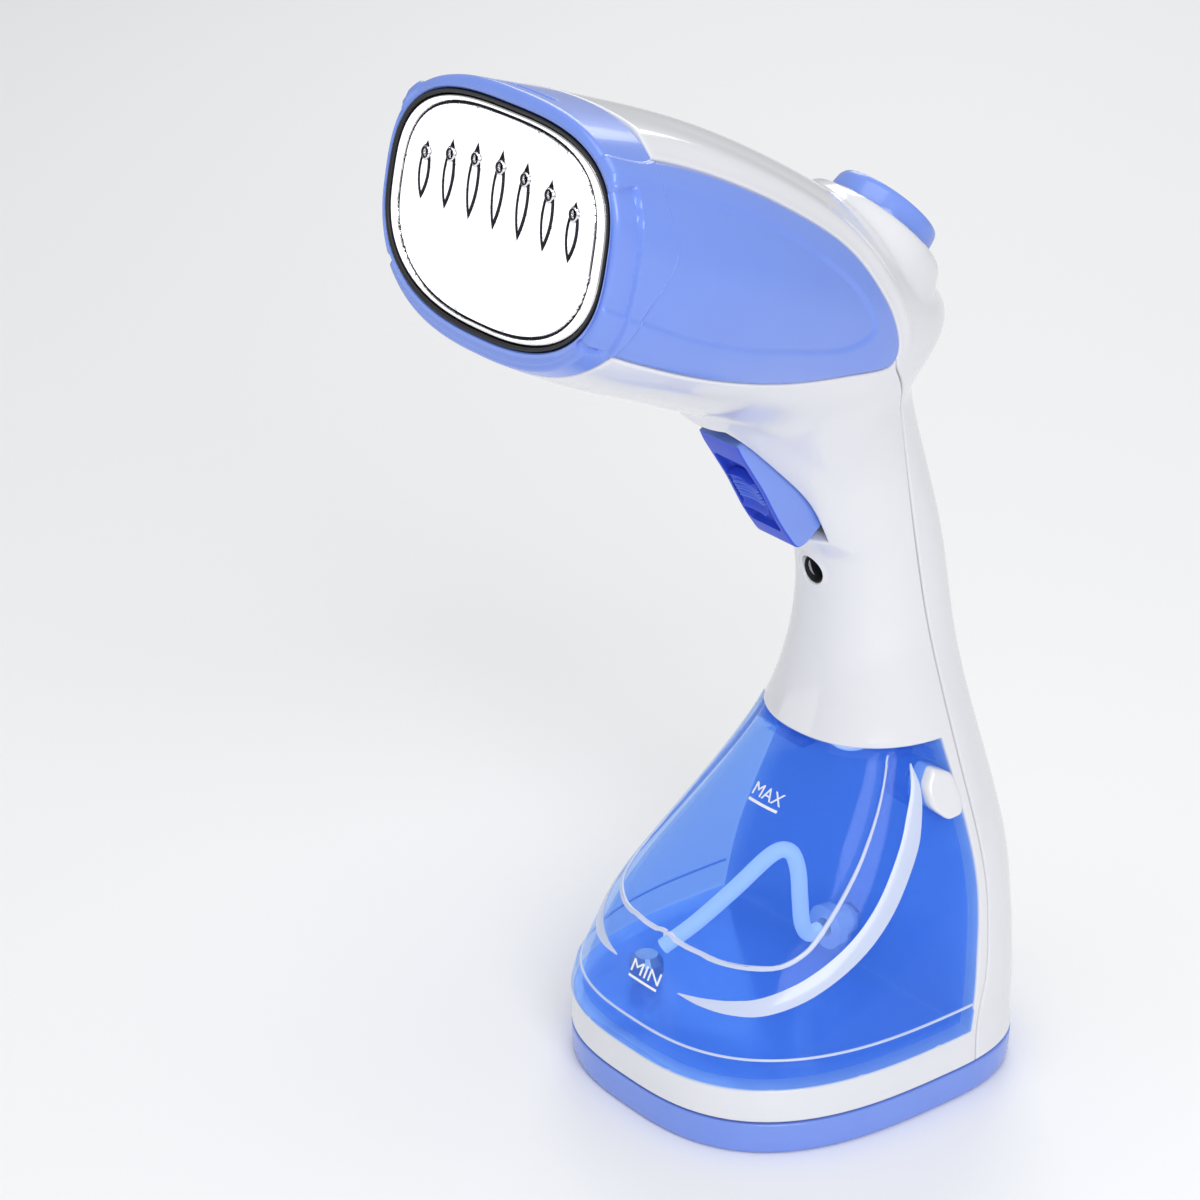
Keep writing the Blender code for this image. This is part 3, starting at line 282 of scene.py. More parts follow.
def distance_to(path, closed=False, view=(1, 2)):
    """A field: signed distance, seen along one axis, to a path; positive on the path's left.

    A path that shows X is a half one, which stands for its mirror image too.
    """
    if closed:
        path = np.vstack([path, path[:1]])
    start, step = path[:-1], np.diff(path, axis=0)
    length2 = (step**2).sum(1)

    def field(points):
        seen = points[:, view].copy()
        if view[0] == 0:
            seen[:, 0] = np.abs(seen[:, 0])
        found = np.empty(len(points))
        for low in range(0, len(points), 20000):
            spot = seen[low : low + 20000, None]
            t = (((spot - start) * step).sum(2) / length2).clip(0, 1)
            gap = spot - (start + t[:, :, None] * step)
            away = (gap**2).sum(2)
            near = away.argmin(1)
            pick = np.arange(len(near))
            side = step[near, 0] * gap[pick, near, 1] - step[near, 1] * gap[pick, near, 0]
            found[low : low + 20000] = np.sqrt(away[pick, near]) * np.where(side >= 0, 1, -1)
        return found

    return field


def least(*fields):
    return lambda points: np.min([field(points) for field in fields], axis=0)


def most(*fields):
    return lambda points: np.max([field(points) for field in fields], axis=0)


def other_side(field):
    return lambda points: -field(points)


def round_hole(centre_z, radius, rear):
    """A field: distance from a round hole along Y, in the rear or the front of the casing."""

    def field(points):
        away = np.hypot(points[:, 0], points[:, 2] - centre_z) - radius
        return np.where((points[:, 1] > 0.022) == rear, away, 0.02)

    return field


def wide_of_slot(points):
    return np.abs(points[:, 0]) - TRIGGER_HALF_WIDTH - TRIGGER_GAP


behind_bezel = distance_to(smooth_path(BEZEL_SEAM))
behind_rear_seam = distance_to(smooth_path(REAR_SEAM))
before_rear_seam = other_side(behind_rear_seam)
behind_tank = distance_to(smooth_path(TANK_REAR))
outside_panel = distance_to(smooth_path(PANEL_EDGE), closed=True)
inside_middle = other_side(distance_to(smooth_path(PANEL_MIDDLE), closed=True))
past_slot = distance_to(np.array(TRIGGER_SLOT), closed=True)
outside_slot = most(wide_of_slot, past_slot)
off_screw = round_hole(SCREW_HEIGHT, SCREW_WELL_RADIUS, rear=False)
off_gland = round_hole(GLAND_HEIGHT, GLAND_RADIUS, rear=True)


def over_foot(points):
    return points[:, 2] - FOOT_TOP


def over_ceiling(points):
    return points[:, 2] - CEILING


def over_deck(points):
    return points[:, 2] - DECK_TOP


under_deck = other_side(over_deck)
outside_bay = most(behind_tank, over_ceiling, under_deck)


# ---------------------------------------------------------------- cutting a skin from a form


def half_grid(first_row=0.0, last_row=LAST_ROW, fine=1.0):
    """(places, faces) of the casing's left half between two rows."""
    columns = int(COLUMNS * fine)
    rows = int((last_row - first_row) * ROWS * fine)
    turn = np.arange(columns + 1) / columns / 2
    row = np.linspace(first_row, last_row, rows + 1)
    places = np.array([(a, b) for b in row for a in turn])
    return places, grid_faces(columns, rows)


def grid_faces(columns, rows):
    """Triangles of a grid whose points come row by row."""
    corner = (np.arange(rows)[:, None] * (columns + 1) + np.arange(columns)).ravel()
    right, upper = corner + 1, corner + columns + 1
    lower_half = np.column_stack([corner, right, upper + 1])
    return np.vstack([lower_half, np.column_stack([corner, upper + 1, upper])])


def split(mesh, field, levels, surface=casing):
    """The mesh with each triangle that crosses the field at one of the levels cut along it."""
    places, faces = mesh
    value = field(surface(places))
    for level in levels:
        new, faces = split_once(places, faces, value - level, field, level, surface)
        places = np.vstack([places, new])
        value = np.concatenate([value, np.full(len(new), level)])
    return places, faces


def split_once(places, faces, value, field, level, surface):
    """(new points, faces) after one cut; value is the field less the level."""
    value = np.where(np.abs(value) < 4e-6, 0, value)
    sign = np.sign(value)
    corner = sign[faces]
    crossing = (corner.min(1) < 0) & (corner.max(1) > 0)
    cut_faces, kept = faces[crossing], faces[~crossing]
    total = sign[cut_faces].sum(1)
    odd = np.where(total == 0, 0, -np.sign(total))
    lone = (sign[cut_faces] == odd[:, None]).argmax(1)
    rolled = np.take_along_axis(cut_faces, (lone[:, None] + np.arange(3)) % 3, 1)
    one, two = rolled[total != 0], rolled[total == 0]
    pairs = np.vstack([one[:, [0, 1]], one[:, [0, 2]], two[:, [1, 2]]])
    edges, index = np.unique(np.sort(pairs, axis=1), axis=0, return_inverse=True)
    index = index.ravel() + len(places)
    new = crossings(places, value, edges, field, level, surface)
    a, b, c = one.T
    ab, ac, qr = np.split(index, [len(one), 2 * len(one)])
    p, q, r = two.T
    made = [(a, ab, ac), (ab, b, c), (ab, c, ac), (p, q, qr), (p, qr, r)]
    return new, np.vstack([kept, *[np.column_stack(three) for three in made]])


def crossings(places, value, edges, field, level, surface):
    """Where each edge crosses the level, found by false position."""
    low, high = places[edges[:, 0]], places[edges[:, 1]]
    low_value, high_value = value[edges[:, 0]], value[edges[:, 1]]
    for _ in range(3):
        t = low_value / (low_value - high_value)
        middle = low + t.clip(0.03, 0.97)[:, None] * (high - low)
        found = field(surface(middle)) - level
        same = np.sign(found) == np.sign(low_value)
        low, high = np.where(same[:, None], middle, low), np.where(same[:, None], high, middle)
        low_value, high_value = np.where(same, found, low_value), np.where(same, high_value, found)
    t = low_value / np.where(low_value == high_value, 1, low_value - high_value)
    return low + t.clip(0, 1)[:, None] * (high - low)


def keep(mesh, field, level, surface=casing):
    """The triangles whose middle has the field over the level."""
    places, faces = mesh
    faces = faces[field(surface(places[faces].mean(1))) > level]
    used, index = np.unique(faces, return_inverse=True)
    return places[used], index.reshape(-1, 3)


def rolled_in(distance, radius=EDGE):
    """How deep a rounded edge lies, that far from the cut."""
    t = np.clip(1 - distance / radius, 0, 1)
    return radius * (1 - np.sqrt(1 - t * t))


def ease(x):
    """From 0 to 1 with a smooth start and end."""
    x = np.clip(x, 0, 1)
    return x * x * (3 - 2 * x)


def skin(seams, inside, relief=None, creases=(), wall=SHELL, rows=(0.0, LAST_ROW), fine=1.0, start=SEAM / 2):
    """The left half of a shell, which is the form where inside is over start.

    Returns its outer points, inner points and faces, and where the outer points lie on the form. Its
    edges are rounded, relief says how deep points lie under the form, and creases are the
    (field, levels) pairs that relief needs points along.
    """
    mesh = keep(half_grid(*rows, fine), inside, -0.003)
    for field in seams:
        mesh = split(mesh, field, [start + share * EDGE for share in ROUNDING])
    for field, levels in creases:
        mesh = split(mesh, field, levels)
    places, faces = keep(mesh, inside, start)
    points, normals = casing(places), outward(places)
    depth = rolled_in(inside(points) - start)
    if relief is not None:
        depth = depth + relief(points)
    return points - normals * depth[:, None], points - normals * wall, faces, points


def open_edges(faces):
    """The directed edges that no neighbour runs back along."""
    edges = np.vstack([faces[:, [0, 1]], faces[:, [1, 2]], faces[:, [2, 0]]]).astype(np.int64)
    most_points = faces.max() + 1
    there, back = edges @ [most_points, 1], edges @ [1, most_points]
    return edges[~np.isin(there, back)]


def both_halves(points, faces):
    """The points and faces with their mirror image, and each point's twin; middle points are shared."""
    points = points.copy()
    middle = np.abs(points[:, 0]) < 1e-6
    points[middle, 0] = 0
    index = np.arange(len(points))
    twin = np.where(middle, index, index + len(points))
    all_points = np.vstack([points, points * (-1, 1, 1)])
    return all_points, np.vstack([faces, twin[faces][:, ::-1]]), np.concatenate([twin, index])


# ---------------------------------------------------------------- meshes from points and polygons


def linked(name, data, place=None):
    """A new object in the scene."""
    made = bpy.data.objects.new(name, data)
    bpy.context.scene.collection.objects.link(made)
    if place is not None:
        made.matrix_world = place
    return made


def smoothed(piece, crease=CREASE):
    """The piece, shaded smooth except where faces meet at more than crease degrees."""
    piece.data.shade_smooth()
    piece.data.set_sharp_from_angle(angle=math.radians(crease))
    return piece


def mesh_piece(name, points, polygons, finishes, place=None, crease=CREASE, flip=False, picks=None):
    """An object from points and polygons, with the points that coincide made one.

    finishes is one material or a list of them, picks says which one each polygon takes, and flip turns
    every face outwards.
    """
    data = bpy.data.meshes.new(name)
    polygons = [without_repeats(polygon) for polygon in polygons]
    kept = [i for i, polygon in enumerate(polygons) if len(polygon) > 2]
    data.from_pydata(np.asarray(points).tolist(), [], [polygons[i] for i in kept])
    if picks is not None:
        data.polygons.foreach_set("material_index", np.asarray(picks, np.int32)[kept])
    shape = bmesh.new()
    shape.from_mesh(data)
    bmesh.ops.remove_doubles(shape, verts=shape.verts, dist=5e-6)
    bmesh.ops.dissolve_degenerate(shape, edges=shape.edges, dist=2e-6)
    bmesh.ops.delete(shape, geom=[v for v in shape.verts if not v.link_faces], context="VERTS")
    if flip:
        bmesh.ops.recalc_face_normals(shape, faces=shape.faces)
    shape.to_mesh(data)
    shape.free()
    for finish in finishes if isinstance(finishes, list) else [finishes]:
        data.materials.append(finish)
    return smoothed(linked(name, data, place), crease)


def without_repeats(polygon):
    return [a for a, b in zip(polygon, [*polygon[1:], polygon[0]]) if a != b]


def near_level(field, level):
    return lambda points: np.abs(field(points) - level) < 2.5e-5


def shell_polygons(outer, inner, faces, runs_across):
    """Points and polygons of a closed shell. Open edges marked in runs_across join their mirror images;
    the others join the outer skin to the inner one."""
    outer, all_faces, twin = both_halves(outer, faces)
    inner, _, _ = both_halves(inner, faces)
    count = len(outer)
    marked = np.concatenate([runs_across, runs_across])
    polygons = all_faces.tolist() + (all_faces[:, ::-1] + count).tolist()
    for a, b in open_edges(all_faces).tolist():
        if not (marked[a] and marked[b]):
            polygons.append([b, a, a + count, b + count])
        elif max(a, b) < count // 2:
            polygons.append([b, a, int(twin[a]), int(twin[b])])
            polygons.append([a + count, b + count, int(twin[b]) + count, int(twin[a]) + count])
    return np.vstack([outer, inner]), polygons


def one_side(outer, inner, faces, side):
    """Points and polygons of a closed shell that lies wholly on one side."""
    count = len(outer)
    polygons = faces.tolist() + (faces[:, ::-1] + count).tolist()
    polygons += [[b, a, a + count, b + count] for a, b in open_edges(faces).tolist()]
    points = np.vstack([outer, inner])
    if side < 0:
        return points * (-1, 1, 1), [polygon[::-1] for polygon in polygons]
    return points, polygons


def ring_polygons(rows, columns, closed=True):
    """Quads of a grid that closes round its columns and, when closed, round its rows too."""
    polygons = []
    for i in range(rows if closed else rows - 1):
        low, high = i * columns, (i + 1) % rows * columns
        for j in range(columns):
            k = (j + 1) % columns
            polygons.append([low + j, low + k, high + k, high + j])
    return polygons


def quads(rows, columns):
    """Quads of an open grid whose points come row by row."""
    corners = [i * columns + j for i in range(rows - 1) for j in range(columns - 1)]
    return [[a, a + 1, a + columns + 1, a + columns] for a in corners]


def thickened(faces, count):
    """Polygons of a closed sheet: the faces, the same under them on count further points, and its sides."""
    edges = [(a, b) for face in faces for a, b in zip(face, [*face[1:], face[0]])]
    alone = set(edges) - {(b, a) for a, b in edges}
    sides = [[b, a, a + count, b + count] for a, b in sorted(alone)]
    under = [[i + count for i in face[::-1]] for face in faces]
    return [*faces, *under, *sides]


def capped(rings):
    """Points and polygons of a solid stacked from rings, flat at both ends."""
    count = len(rings[0])
    last = (len(rings) - 1) * count
    ends = [list(range(count))[::-1], list(range(last, last + count))]
    return np.vstack(rings), ring_polygons(len(rings), count, closed=False) + ends


def at_height(flat, height):
    return np.column_stack([flat, np.full(len(flat), height)])


def rounded_edge(radius, steps=5):
    """(inset, drop) pairs up round an upper edge; swapped, they run up round a lower edge."""
    angles = [math.pi / 2 * i / steps for i in range(steps + 1)]
    return [(radius * (1 - math.cos(a)), radius * (1 - math.sin(a))) for a in angles]


def rounded(profile, radius, steps=4):
    """The profile's points with each corner replaced by an arc; a point may carry its own radius."""
    made = []
    count = len(profile)
    for i, point in enumerate(profile):
        here = np.array(point[:2])
        reach = point[2] if len(point) > 2 else radius
        before = np.array(profile[i - 1][:2]) - here
        after = np.array(profile[(i + 1) % count][:2]) - here
        longest = min(np.linalg.norm(before), np.linalg.norm(after)) * 0.48
        cut = min(reach, longest)
        if cut < 1e-6:
            made.append(tuple(here))
            continue
        first = here + before / np.linalg.norm(before) * cut
        last = here + after / np.linalg.norm(after) * cut
        for j in range(steps + 1):
            t = j / steps
            made.append(tuple((1 - t) ** 2 * first + 2 * t * (1 - t) * here + t * t * last))
    return made


def turned(name, profile, place, finish, sides=96, radius=0.0003, shape=None):
    """A closed (radius, height) profile turned about local Z, with rounded corners."""
    profile = np.array(rounded(profile, radius))
    angle = 2 * math.pi * np.arange(sides) / sides
    turn = np.column_stack([np.cos(angle), np.sin(angle)])
    points = np.vstack([at_height(turn * r, h) for r, h in profile])
    if shape is not None:
        points = shape(points)
    return mesh_piece(name, points, ring_polygons(len(profile), sides), finish, place, flip=True)


def egg(half_width, half_height, powers, count=240):
    """A closed outline with its own roundness above and below its middle."""
    angle = 2 * math.pi * (np.arange(count) / count - 0.25)
    c, s = np.cos(angle), np.sin(angle)
    power = 2 / np.where(s >= 0, *powers)
    x = half_width * np.sign(c) * np.abs(c) ** power
    return np.column_stack([x, half_height * np.sign(s) * np.abs(s) ** power])


def outline_normals(outline):
    """Outward unit normals of a closed outline that runs anticlockwise."""
    along = np.roll(outline, -1, axis=0) - np.roll(outline, 1, axis=0)
    normal = np.column_stack([along[:, 1], -along[:, 0]])
    return normal / np.linalg.norm(normal, axis=1)[:, None]


def stacked(name, outline, levels, finish, place=None):
    """A solid of (inset, height) levels, each the closed outline drawn in by the inset."""
    normals = outline_normals(outline)
    rings = [at_height(outline - normals * inset, height) for inset, height in levels]
    return mesh_piece(name, *capped(rings), finish, place, flip=True)


def slab(name, outline, low, high, finish, place, edge):
    """A flat solid inside a closed outline, with rounded upper and lower edges."""
    levels = [(drop, low + inset) for inset, drop in rounded_edge(edge)]
    levels += [(inset, high - drop) for inset, drop in rounded_edge(edge)]
    return stacked(name, outline, levels, finish, place)


def side_slab(name, outline, low, high, finish, edge):
    """A slab seen from the side: a (y, z) outline, from low to high along X."""
    side_view = Matrix(((0, 0, 1, 0), (1, 0, 0, 0), (0, 1, 0, 0), (0, 0, 0, 1)))
    return slab(name, anticlockwise(outline), low, high, finish, side_view, edge)


def anticlockwise(outline):
    outline = np.asarray(outline)
    x, y = outline.T
    area = (x * np.roll(y, -1) - y * np.roll(x, -1)).sum()
    return outline if area > 0 else outline[::-1]


def box(name, low, high, finish, place, edge):
    """A block with rounded edges between two corners."""
    shape = bmesh.new()
    bmesh.ops.create_cube(shape, size=1)
    middle, size = (Vector(low) + Vector(high)) / 2, Vector(high) - Vector(low)
    for vert in shape.verts:
        vert.co = middle + Vector(a * b for a, b in zip(vert.co, size))
    bmesh.ops.bevel(shape, geom=shape.edges, offset=edge, segments=3, affect="EDGES", profile=0.5)
    points = [tuple(v.co) for v in shape.verts]
    polygons = [[v.index for v in face.verts] for face in shape.faces]
    shape.free()
    return mesh_piece(name, points, polygons, finish, place)


def cut(piece, tools):
    """Cuts the tools out of the piece, and removes them."""
    for tool in tools:
        step = piece.modifiers.new("cut", "BOOLEAN")
        step.operation = "DIFFERENCE"
        step.solver = "EXACT"
        step.material_mode = "TRANSFER"
        step.object = tool
        bpy.context.view_layer.update()
        evaluated = piece.evaluated_get(bpy.context.evaluated_depsgraph_get())
        made = bpy.data.meshes.new_from_object(evaluated)
        piece.modifiers.clear()
        piece.data = made
        bpy.data.objects.remove(tool)
    return piece


def joined(name, *pieces):
    """One object from several, in world space, with one finish for each material."""
    shape = bmesh.new()
    finishes = []
    for piece in pieces:
        data = piece.data.copy()
        data.transform(piece.matrix_world)
        own = list(piece.data.materials)
        finishes += [finish for finish in own if finish not in finishes]
        for polygon in data.polygons:
            polygon.material_index = finishes.index(own[polygon.material_index])
        shape.from_mesh(data)
        bpy.data.objects.remove(piece)
    data = bpy.data.meshes.new(name)
    shape.to_mesh(data)
    shape.free()
    for finish in finishes:
        data.materials.append(finish)
    return linked(name, data)


def tree_of(piece):
    """A search tree over the piece's faces, in world space."""
    points = [piece.matrix_world @ v.co for v in piece.data.vertices]
    return BVHTree.FromPolygons(points, [p.vertices for p in piece.data.polygons])


def belongs(piece, body, slot_name, *nodes):
    """The piece rides on the body and stands for the CAD nodes, which it hides. slot_name is not used."""
    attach(piece, body)
    if nodes:
        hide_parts(*nodes)
    return piece


# ---------------------------------------------------------------- materials


def moulded(name, color, shade, roughness=0.22, grain=0.02, coat=0.3, metallic=0.0, scale=60.0):
    """Moulded plastic or metal: its colour drifts a little to the shade, over a faintly uneven surface."""
    made = bpy.data.materials.new(name)
    made.use_nodes = True
    nodes, links = made.node_tree.nodes, made.node_tree.links
    shader = nodes["Principled BSDF"]
    place = nodes.new("ShaderNodeTexCoord")
    drift = nodes.new("ShaderNodeTexNoise")
    drift.inputs["Scale"].default_value = scale
    drift.inputs["Detail"].default_value = 3
    tint = nodes.new("ShaderNodeMix")
    tint.data_type = "RGBA"
    tint.inputs["A"].default_value = (*color, 1)
    tint.inputs["B"].default_value = (*shade, 1)
    polish = nodes.new("ShaderNodeMapRange")
    polish.inputs["To Min"].default_value = roughness * 0.85
    polish.inputs["To Max"].default_value = roughness * 1.15
    fine = nodes.new("ShaderNodeTexNoise")
    fine.inputs["Scale"].default_value = 900
    bump = nodes.new("ShaderNodeBump")
    bump.inputs["Strength"].default_value = grain
    bump.inputs["Distance"].default_value = 0.0002
    links.new(place.outputs["Object"], drift.inputs["Vector"])
    links.new(place.outputs["Object"], fine.inputs["Vector"])
    links.new(drift.outputs["Fac"], tint.inputs["Factor"])
    links.new(tint.outputs["Result"], shader.inputs["Base Color"])
    links.new(drift.outputs["Fac"], polish.inputs["Value"])
    links.new(polish.outputs["Result"], shader.inputs["Roughness"])
    links.new(fine.outputs["Fac"], bump.inputs["Height"])
    links.new(bump.outputs["Normal"], shader.inputs["Normal"])
    shader.inputs["Metallic"].default_value = metallic
    shader.inputs["Coat Weight"].default_value = coat
    shader.inputs["Coat Roughness"].default_value = 0.06
    made.diffuse_color = (*color, 1)
    return made


def clear_tinted(name, color, shade, tint, clearness, roughness=0.08):
    """Tinted clear plastic: part of the light passes straight through, coloured by the tint."""
    made = moulded(name, color, shade, roughness, 0.01, 0.6)
    nodes, links = made.node_tree.nodes, made.node_tree.links
    clear = nodes.new("ShaderNodeBsdfTransparent")
    clear.inputs["Color"].default_value = (*tint, 1)
    blend = nodes.new("ShaderNodeMixShader")
    blend.inputs["Fac"].default_value = clearness
    links.new(nodes["Principled BSDF"].outputs["BSDF"], blend.inputs[1])
    links.new(clear.outputs["BSDF"], blend.inputs[2])
    links.new(blend.outputs["Shader"], nodes["Material Output"].inputs["Surface"])
    return made


def glowing(made, color, strength):
    """Gives the material a weak light of its own."""
    shader = made.node_tree.nodes["Principled BSDF"]
    shader.inputs["Emission Color"].default_value = (*color, 1)
    shader.inputs["Emission Strength"].default_value = strength


# Colour, shade, roughness, grain, coat and metallic; the clear ones take a tint and a clearness first.
WHITE = moulded("gloss_white", (0.82, 0.82, 0.85), (0.78, 0.79, 0.83), 0.16, 0.01, 0.5)
BLUE = moulded("periwinkle", (0.17, 0.29, 0.82), (0.20, 0.32, 0.85), 0.24, 0.02)
PALE_BLUE = moulded("pale_periwinkle", (0.33, 0.46, 0.90), (0.37, 0.50, 0.92), 0.24, 0.02)
# Deep blue: the lock's own colour, and painted shade on the trigger's front faces.
DEEP_BLUE_AND_PAINTED_SHADE = moulded("trigger_blue", (0.03, 0.08, 0.66), (0.04, 0.10, 0.70), 0.5, 0.02, 0.0)
# A lighter blue for the tops of the lock's ribs: painted highlight.
PAINTED_RIB_HIGHLIGHT = moulded("painted_rib_highlight", (0.11, 0.22, 0.86), (0.13, 0.25, 0.88), 0.4, 0.02, 0.0)
TANK_BLUE = clear_tinted("tank_blue", (0.06, 0.24, 0.98), (0.08, 0.29, 1.0), (0.78, 0.89, 1.0), 0.84)
# Painted light: the tank glows a weak blue of its own, though it is no lamp.
glowing(TANK_BLUE, (0.08, 0.24, 1.0), 0.22)
# Pale translucent strips on the tank: painted highlight, where its curves catch the lamps.
PAINTED_HIGHLIGHT_STRIP = clear_tinted("painted_highlight_strip", (0.82, 0.88, 1.0), (0.78, 0.85, 1.0), (0.90, 0.95, 1.0), 0.25, 0.3)
RUBBER = moulded("black_rubber", (0.010, 0.010, 0.012), (0.016, 0.016, 0.018), 0.5, 0.08, 0.0)
GREY_RUBBER = moulded("grey_rubber", (0.20, 0.20, 0.22), (0.16, 0.16, 0.18), 0.8, 0.2, 0.0)
SILICONE = moulded("silicone", (0.92, 0.92, 0.98), (0.88, 0.89, 0.97), 0.4, 0.03, 0.1)
# Painted light: the hose glows a weak white of its own, which stands in for light passing through the tank.
glowing(SILICONE, (0.85, 0.90, 1.0), 0.45)
CHROME = moulded("polished_steel", (0.95, 0.95, 0.97), (0.93, 0.93, 0.95), 0.12, 0.01, 0.0, 1.0)
# Near black for the plate's recess walls and jet rims: painted shade.
PAINTED_RECESS_SHADE = moulded("painted_recess_shade", (0.008, 0.008, 0.015), (0.012, 0.012, 0.02), 0.75, 0.02, 0.0)
STEEL = moulded("steel", (0.50, 0.50, 0.52), (0.42, 0.42, 0.44), 0.35, 0.05, 0.0, 1.0)
ALUMINIUM = moulded("cast_aluminium", (0.58, 0.59, 0.60), (0.50, 0.51, 0.53), 0.5, 0.3, 0.0, 1.0)
BOARD = moulded("circuit_board", (0.02, 0.22, 0.09), (0.03, 0.28, 0.12), 0.45, 0.05)
DARK = moulded("dark_plastic", (0.03, 0.03, 0.035), (0.04, 0.04, 0.045), 0.5, 0.05, 0.0)
INK = moulded("printed_ink", (0.01, 0.01, 0.012), (0.015, 0.015, 0.02), 0.6, 0.02, 0.0)
WHITE_INK = moulded("white_ink", (0.95, 0.96, 1.0), (0.92, 0.94, 0.98), 0.6, 0.02, 0.0)
SLOTS = {
    "casing_white": WHITE, "casing_blue": BLUE, "lock_blue": DEEP_BLUE_AND_PAINTED_SHADE, "tank_blue": TANK_BLUE,
    "gasket_rubber": RUBBER, "pad_rubber": GREY_RUBBER, "silicone": SILICONE, "wire_insulation": DARK,
    "polished_steel": CHROME, "steel": STEEL, "cast_aluminium": ALUMINIUM, "circuit_board": BOARD,
    "dark_plastic": DARK, "plunger_plastic": DARK,
}


# ---------------------------------------------------------------- casing shells


def sunk_middle(points):
    """The panel's middle lies a little under its border."""
    return 0.0007 * ease(inside_middle(points) / 0.0016)


MIDDLE_CREASES = [(inside_middle, (0.0, 0.0008, 0.0016))]


def through(matrix, points):
    """The points carried through a 4 x 4 matrix."""
    table = np.array(matrix)
    return points @ table[:3, :3].T + table[:3, 3]


def dial_flat(points):
    """Flattens the casing round the dial to a seat."""
    local = through(DIAL_FRAME.inverted(), points)
    away = np.hypot(local[:, 0], local[:, 1])
    share = ease((0.0228 - away) / 0.0046) * (local[:, 2] > -0.02)
    axis = np.array(DIAL_FRAME.col[2][:3])
    return points - axis * (local[:, 2] * share)[:, None]


def spine_ridge(points):
    """A soft ridge that runs beside the panel's upper edge."""
    away = outside_panel(points)
    fade = ease((points[:, 1] + 0.09) / 0.02) * ease((points[:, 2] - 0.200) / 0.012)
    return -0.0007 * fade * ease(1 - np.abs(away - 0.0042) / 0.0030)


def make_rear_cover():
    seams = [behind_bezel, outside_panel, behind_rear_seam, over_foot, off_gland]
    inside = least(*seams)
    creases = [(outside_panel, (0.0020, 0.0042, 0.0064))]
    outer, inner, faces, _ = skin(seams, inside, spine_ridge, creases)
    outer, inner = dial_flat(outer), dial_flat(inner)
    none = np.zeros(len(outer), bool)
    piece = mesh_piece("rear_shell", *shell_polygons(outer, inner, faces, none), WHITE)
    return belongs(piece, "housing", "casing_white", "rear_cover")


def trigger_rim(points):
    """The casing swells softly round the trigger and the screw hole."""
    swell = 0.0011 * ease(1 - outside_slot(points) / 0.0075)
    rim = 0.0004 * ease(1 - np.abs(off_screw(points) - 0.0006) / 0.0012)
    return -swell - rim


def clear_of_bay(inner, at):
    """Inner points moved back from the tank bay by the wall's thickness."""
    step = 0.0002
    behind = (outside_bay(at + (0, step, 0)) - outside_bay(at - (0, step, 0))) / (2 * step)
    above = (outside_bay(at + (0, 0, step)) - outside_bay(at - (0, 0, step))) / (2 * step)
    gap = outside_bay(at)
    shift = np.clip(SHELL - 0.75 * gap, 0, SHELL)
    return inner + np.column_stack([0 * gap, behind * shift, above * shift])


def make_front_housing():
    seams = [behind_bezel, outside_panel, before_rear_seam, over_foot, behind_tank, over_ceiling, under_deck]
    seams += [wide_of_slot, past_slot, off_screw]
    inside = least(*seams[:4], outside_bay, outside_slot, off_screw)
    creases = [(outside_slot, (0.0025, 0.005)), (off_screw, (0.0012,))]
    outer, inner, faces, at = skin(seams, inside, trigger_rim, creases)
    inner = clear_of_bay(inner, at)
    across = near_level(outside_bay, SEAM / 2)(at)
    piece = mesh_piece("front_shell", *shell_polygons(outer, inner, faces, across), WHITE)
    return belongs(piece, "housing", "casing_white", "front_housing")


def make_side_panels():
    seams = [behind_bezel, other_side(outside_panel)]
    inside = least(*seams)
    outer, inner, faces, _ = skin(
        seams, inside, sunk_middle, MIDDLE_CREASES, PANEL_WALL, PANEL_ROWS, FINER
    )
    for side, name in SIDES:
        points, polygons = one_side(outer, inner, faces, side)
        piece = mesh_piece(f"panel_{name}", points, polygons, BLUE)
        belongs(piece, "housing", "casing_blue", f"side_panel_{name}")


# ---------------------------------------------------------------- nozzle


def seen_from_plate(points):
    return through(PLATE_FRAME.inverted(), points)


def solve_rows(turn, value, low, high):
    """For each turn, the row between low and high where value(points) changes sign."""
    low, high = np.full(len(turn), low), np.full(len(turn), high)
    for _ in range(34):
        middle = (low + high) / 2
        before = value(casing(np.column_stack([turn, middle]))) < 0
        low, high = np.where(before, middle, low), np.where(before, high, middle)
    return (low + high) / 2


BEZEL_COLUMNS = 480
BEZEL_STEPS = 44  # rows between its two rounded edges
BEZEL_SET_BACK = 8  # its inner skin stops so many rows short of its front, behind the mouth
BEZEL_FRONT = 0.0016  # radius of its front edge
EAR_TOP = 0.0185  # between these heights the bezel's sides are set back for a clip-on brush
EAR_BOTTOM = -0.0205


def bezel_relief(points):
    """Side fields a little proud of the top and bottom, and set back between the four front corners."""
    local = seen_from_plate(points)
    proud = 0.0008 * ease(-outside_panel(points) / 0.0007)
    sunk = sunk_middle(points)
    between = ease((EAR_TOP - local[:, 1]) / 0.0008) * ease((local[:, 1] - EAR_BOTTOM) / 0.0008)
    side = ease((np.abs(local[:, 0]) - 0.030) / 0.003)
    set_back = 0.0012 * between * side * ease((local[:, 2] + 0.0075) / 0.0010)
    slot = ease(1 - np.abs(local[:, 2] + 0.0062) / 0.0014) * ease((0.0085 - np.abs(local[:, 0])) / 0.0010)
    return sunk + set_back - proud + 0.0014 * slot * (np.abs(local[:, 1]) > 0.02)


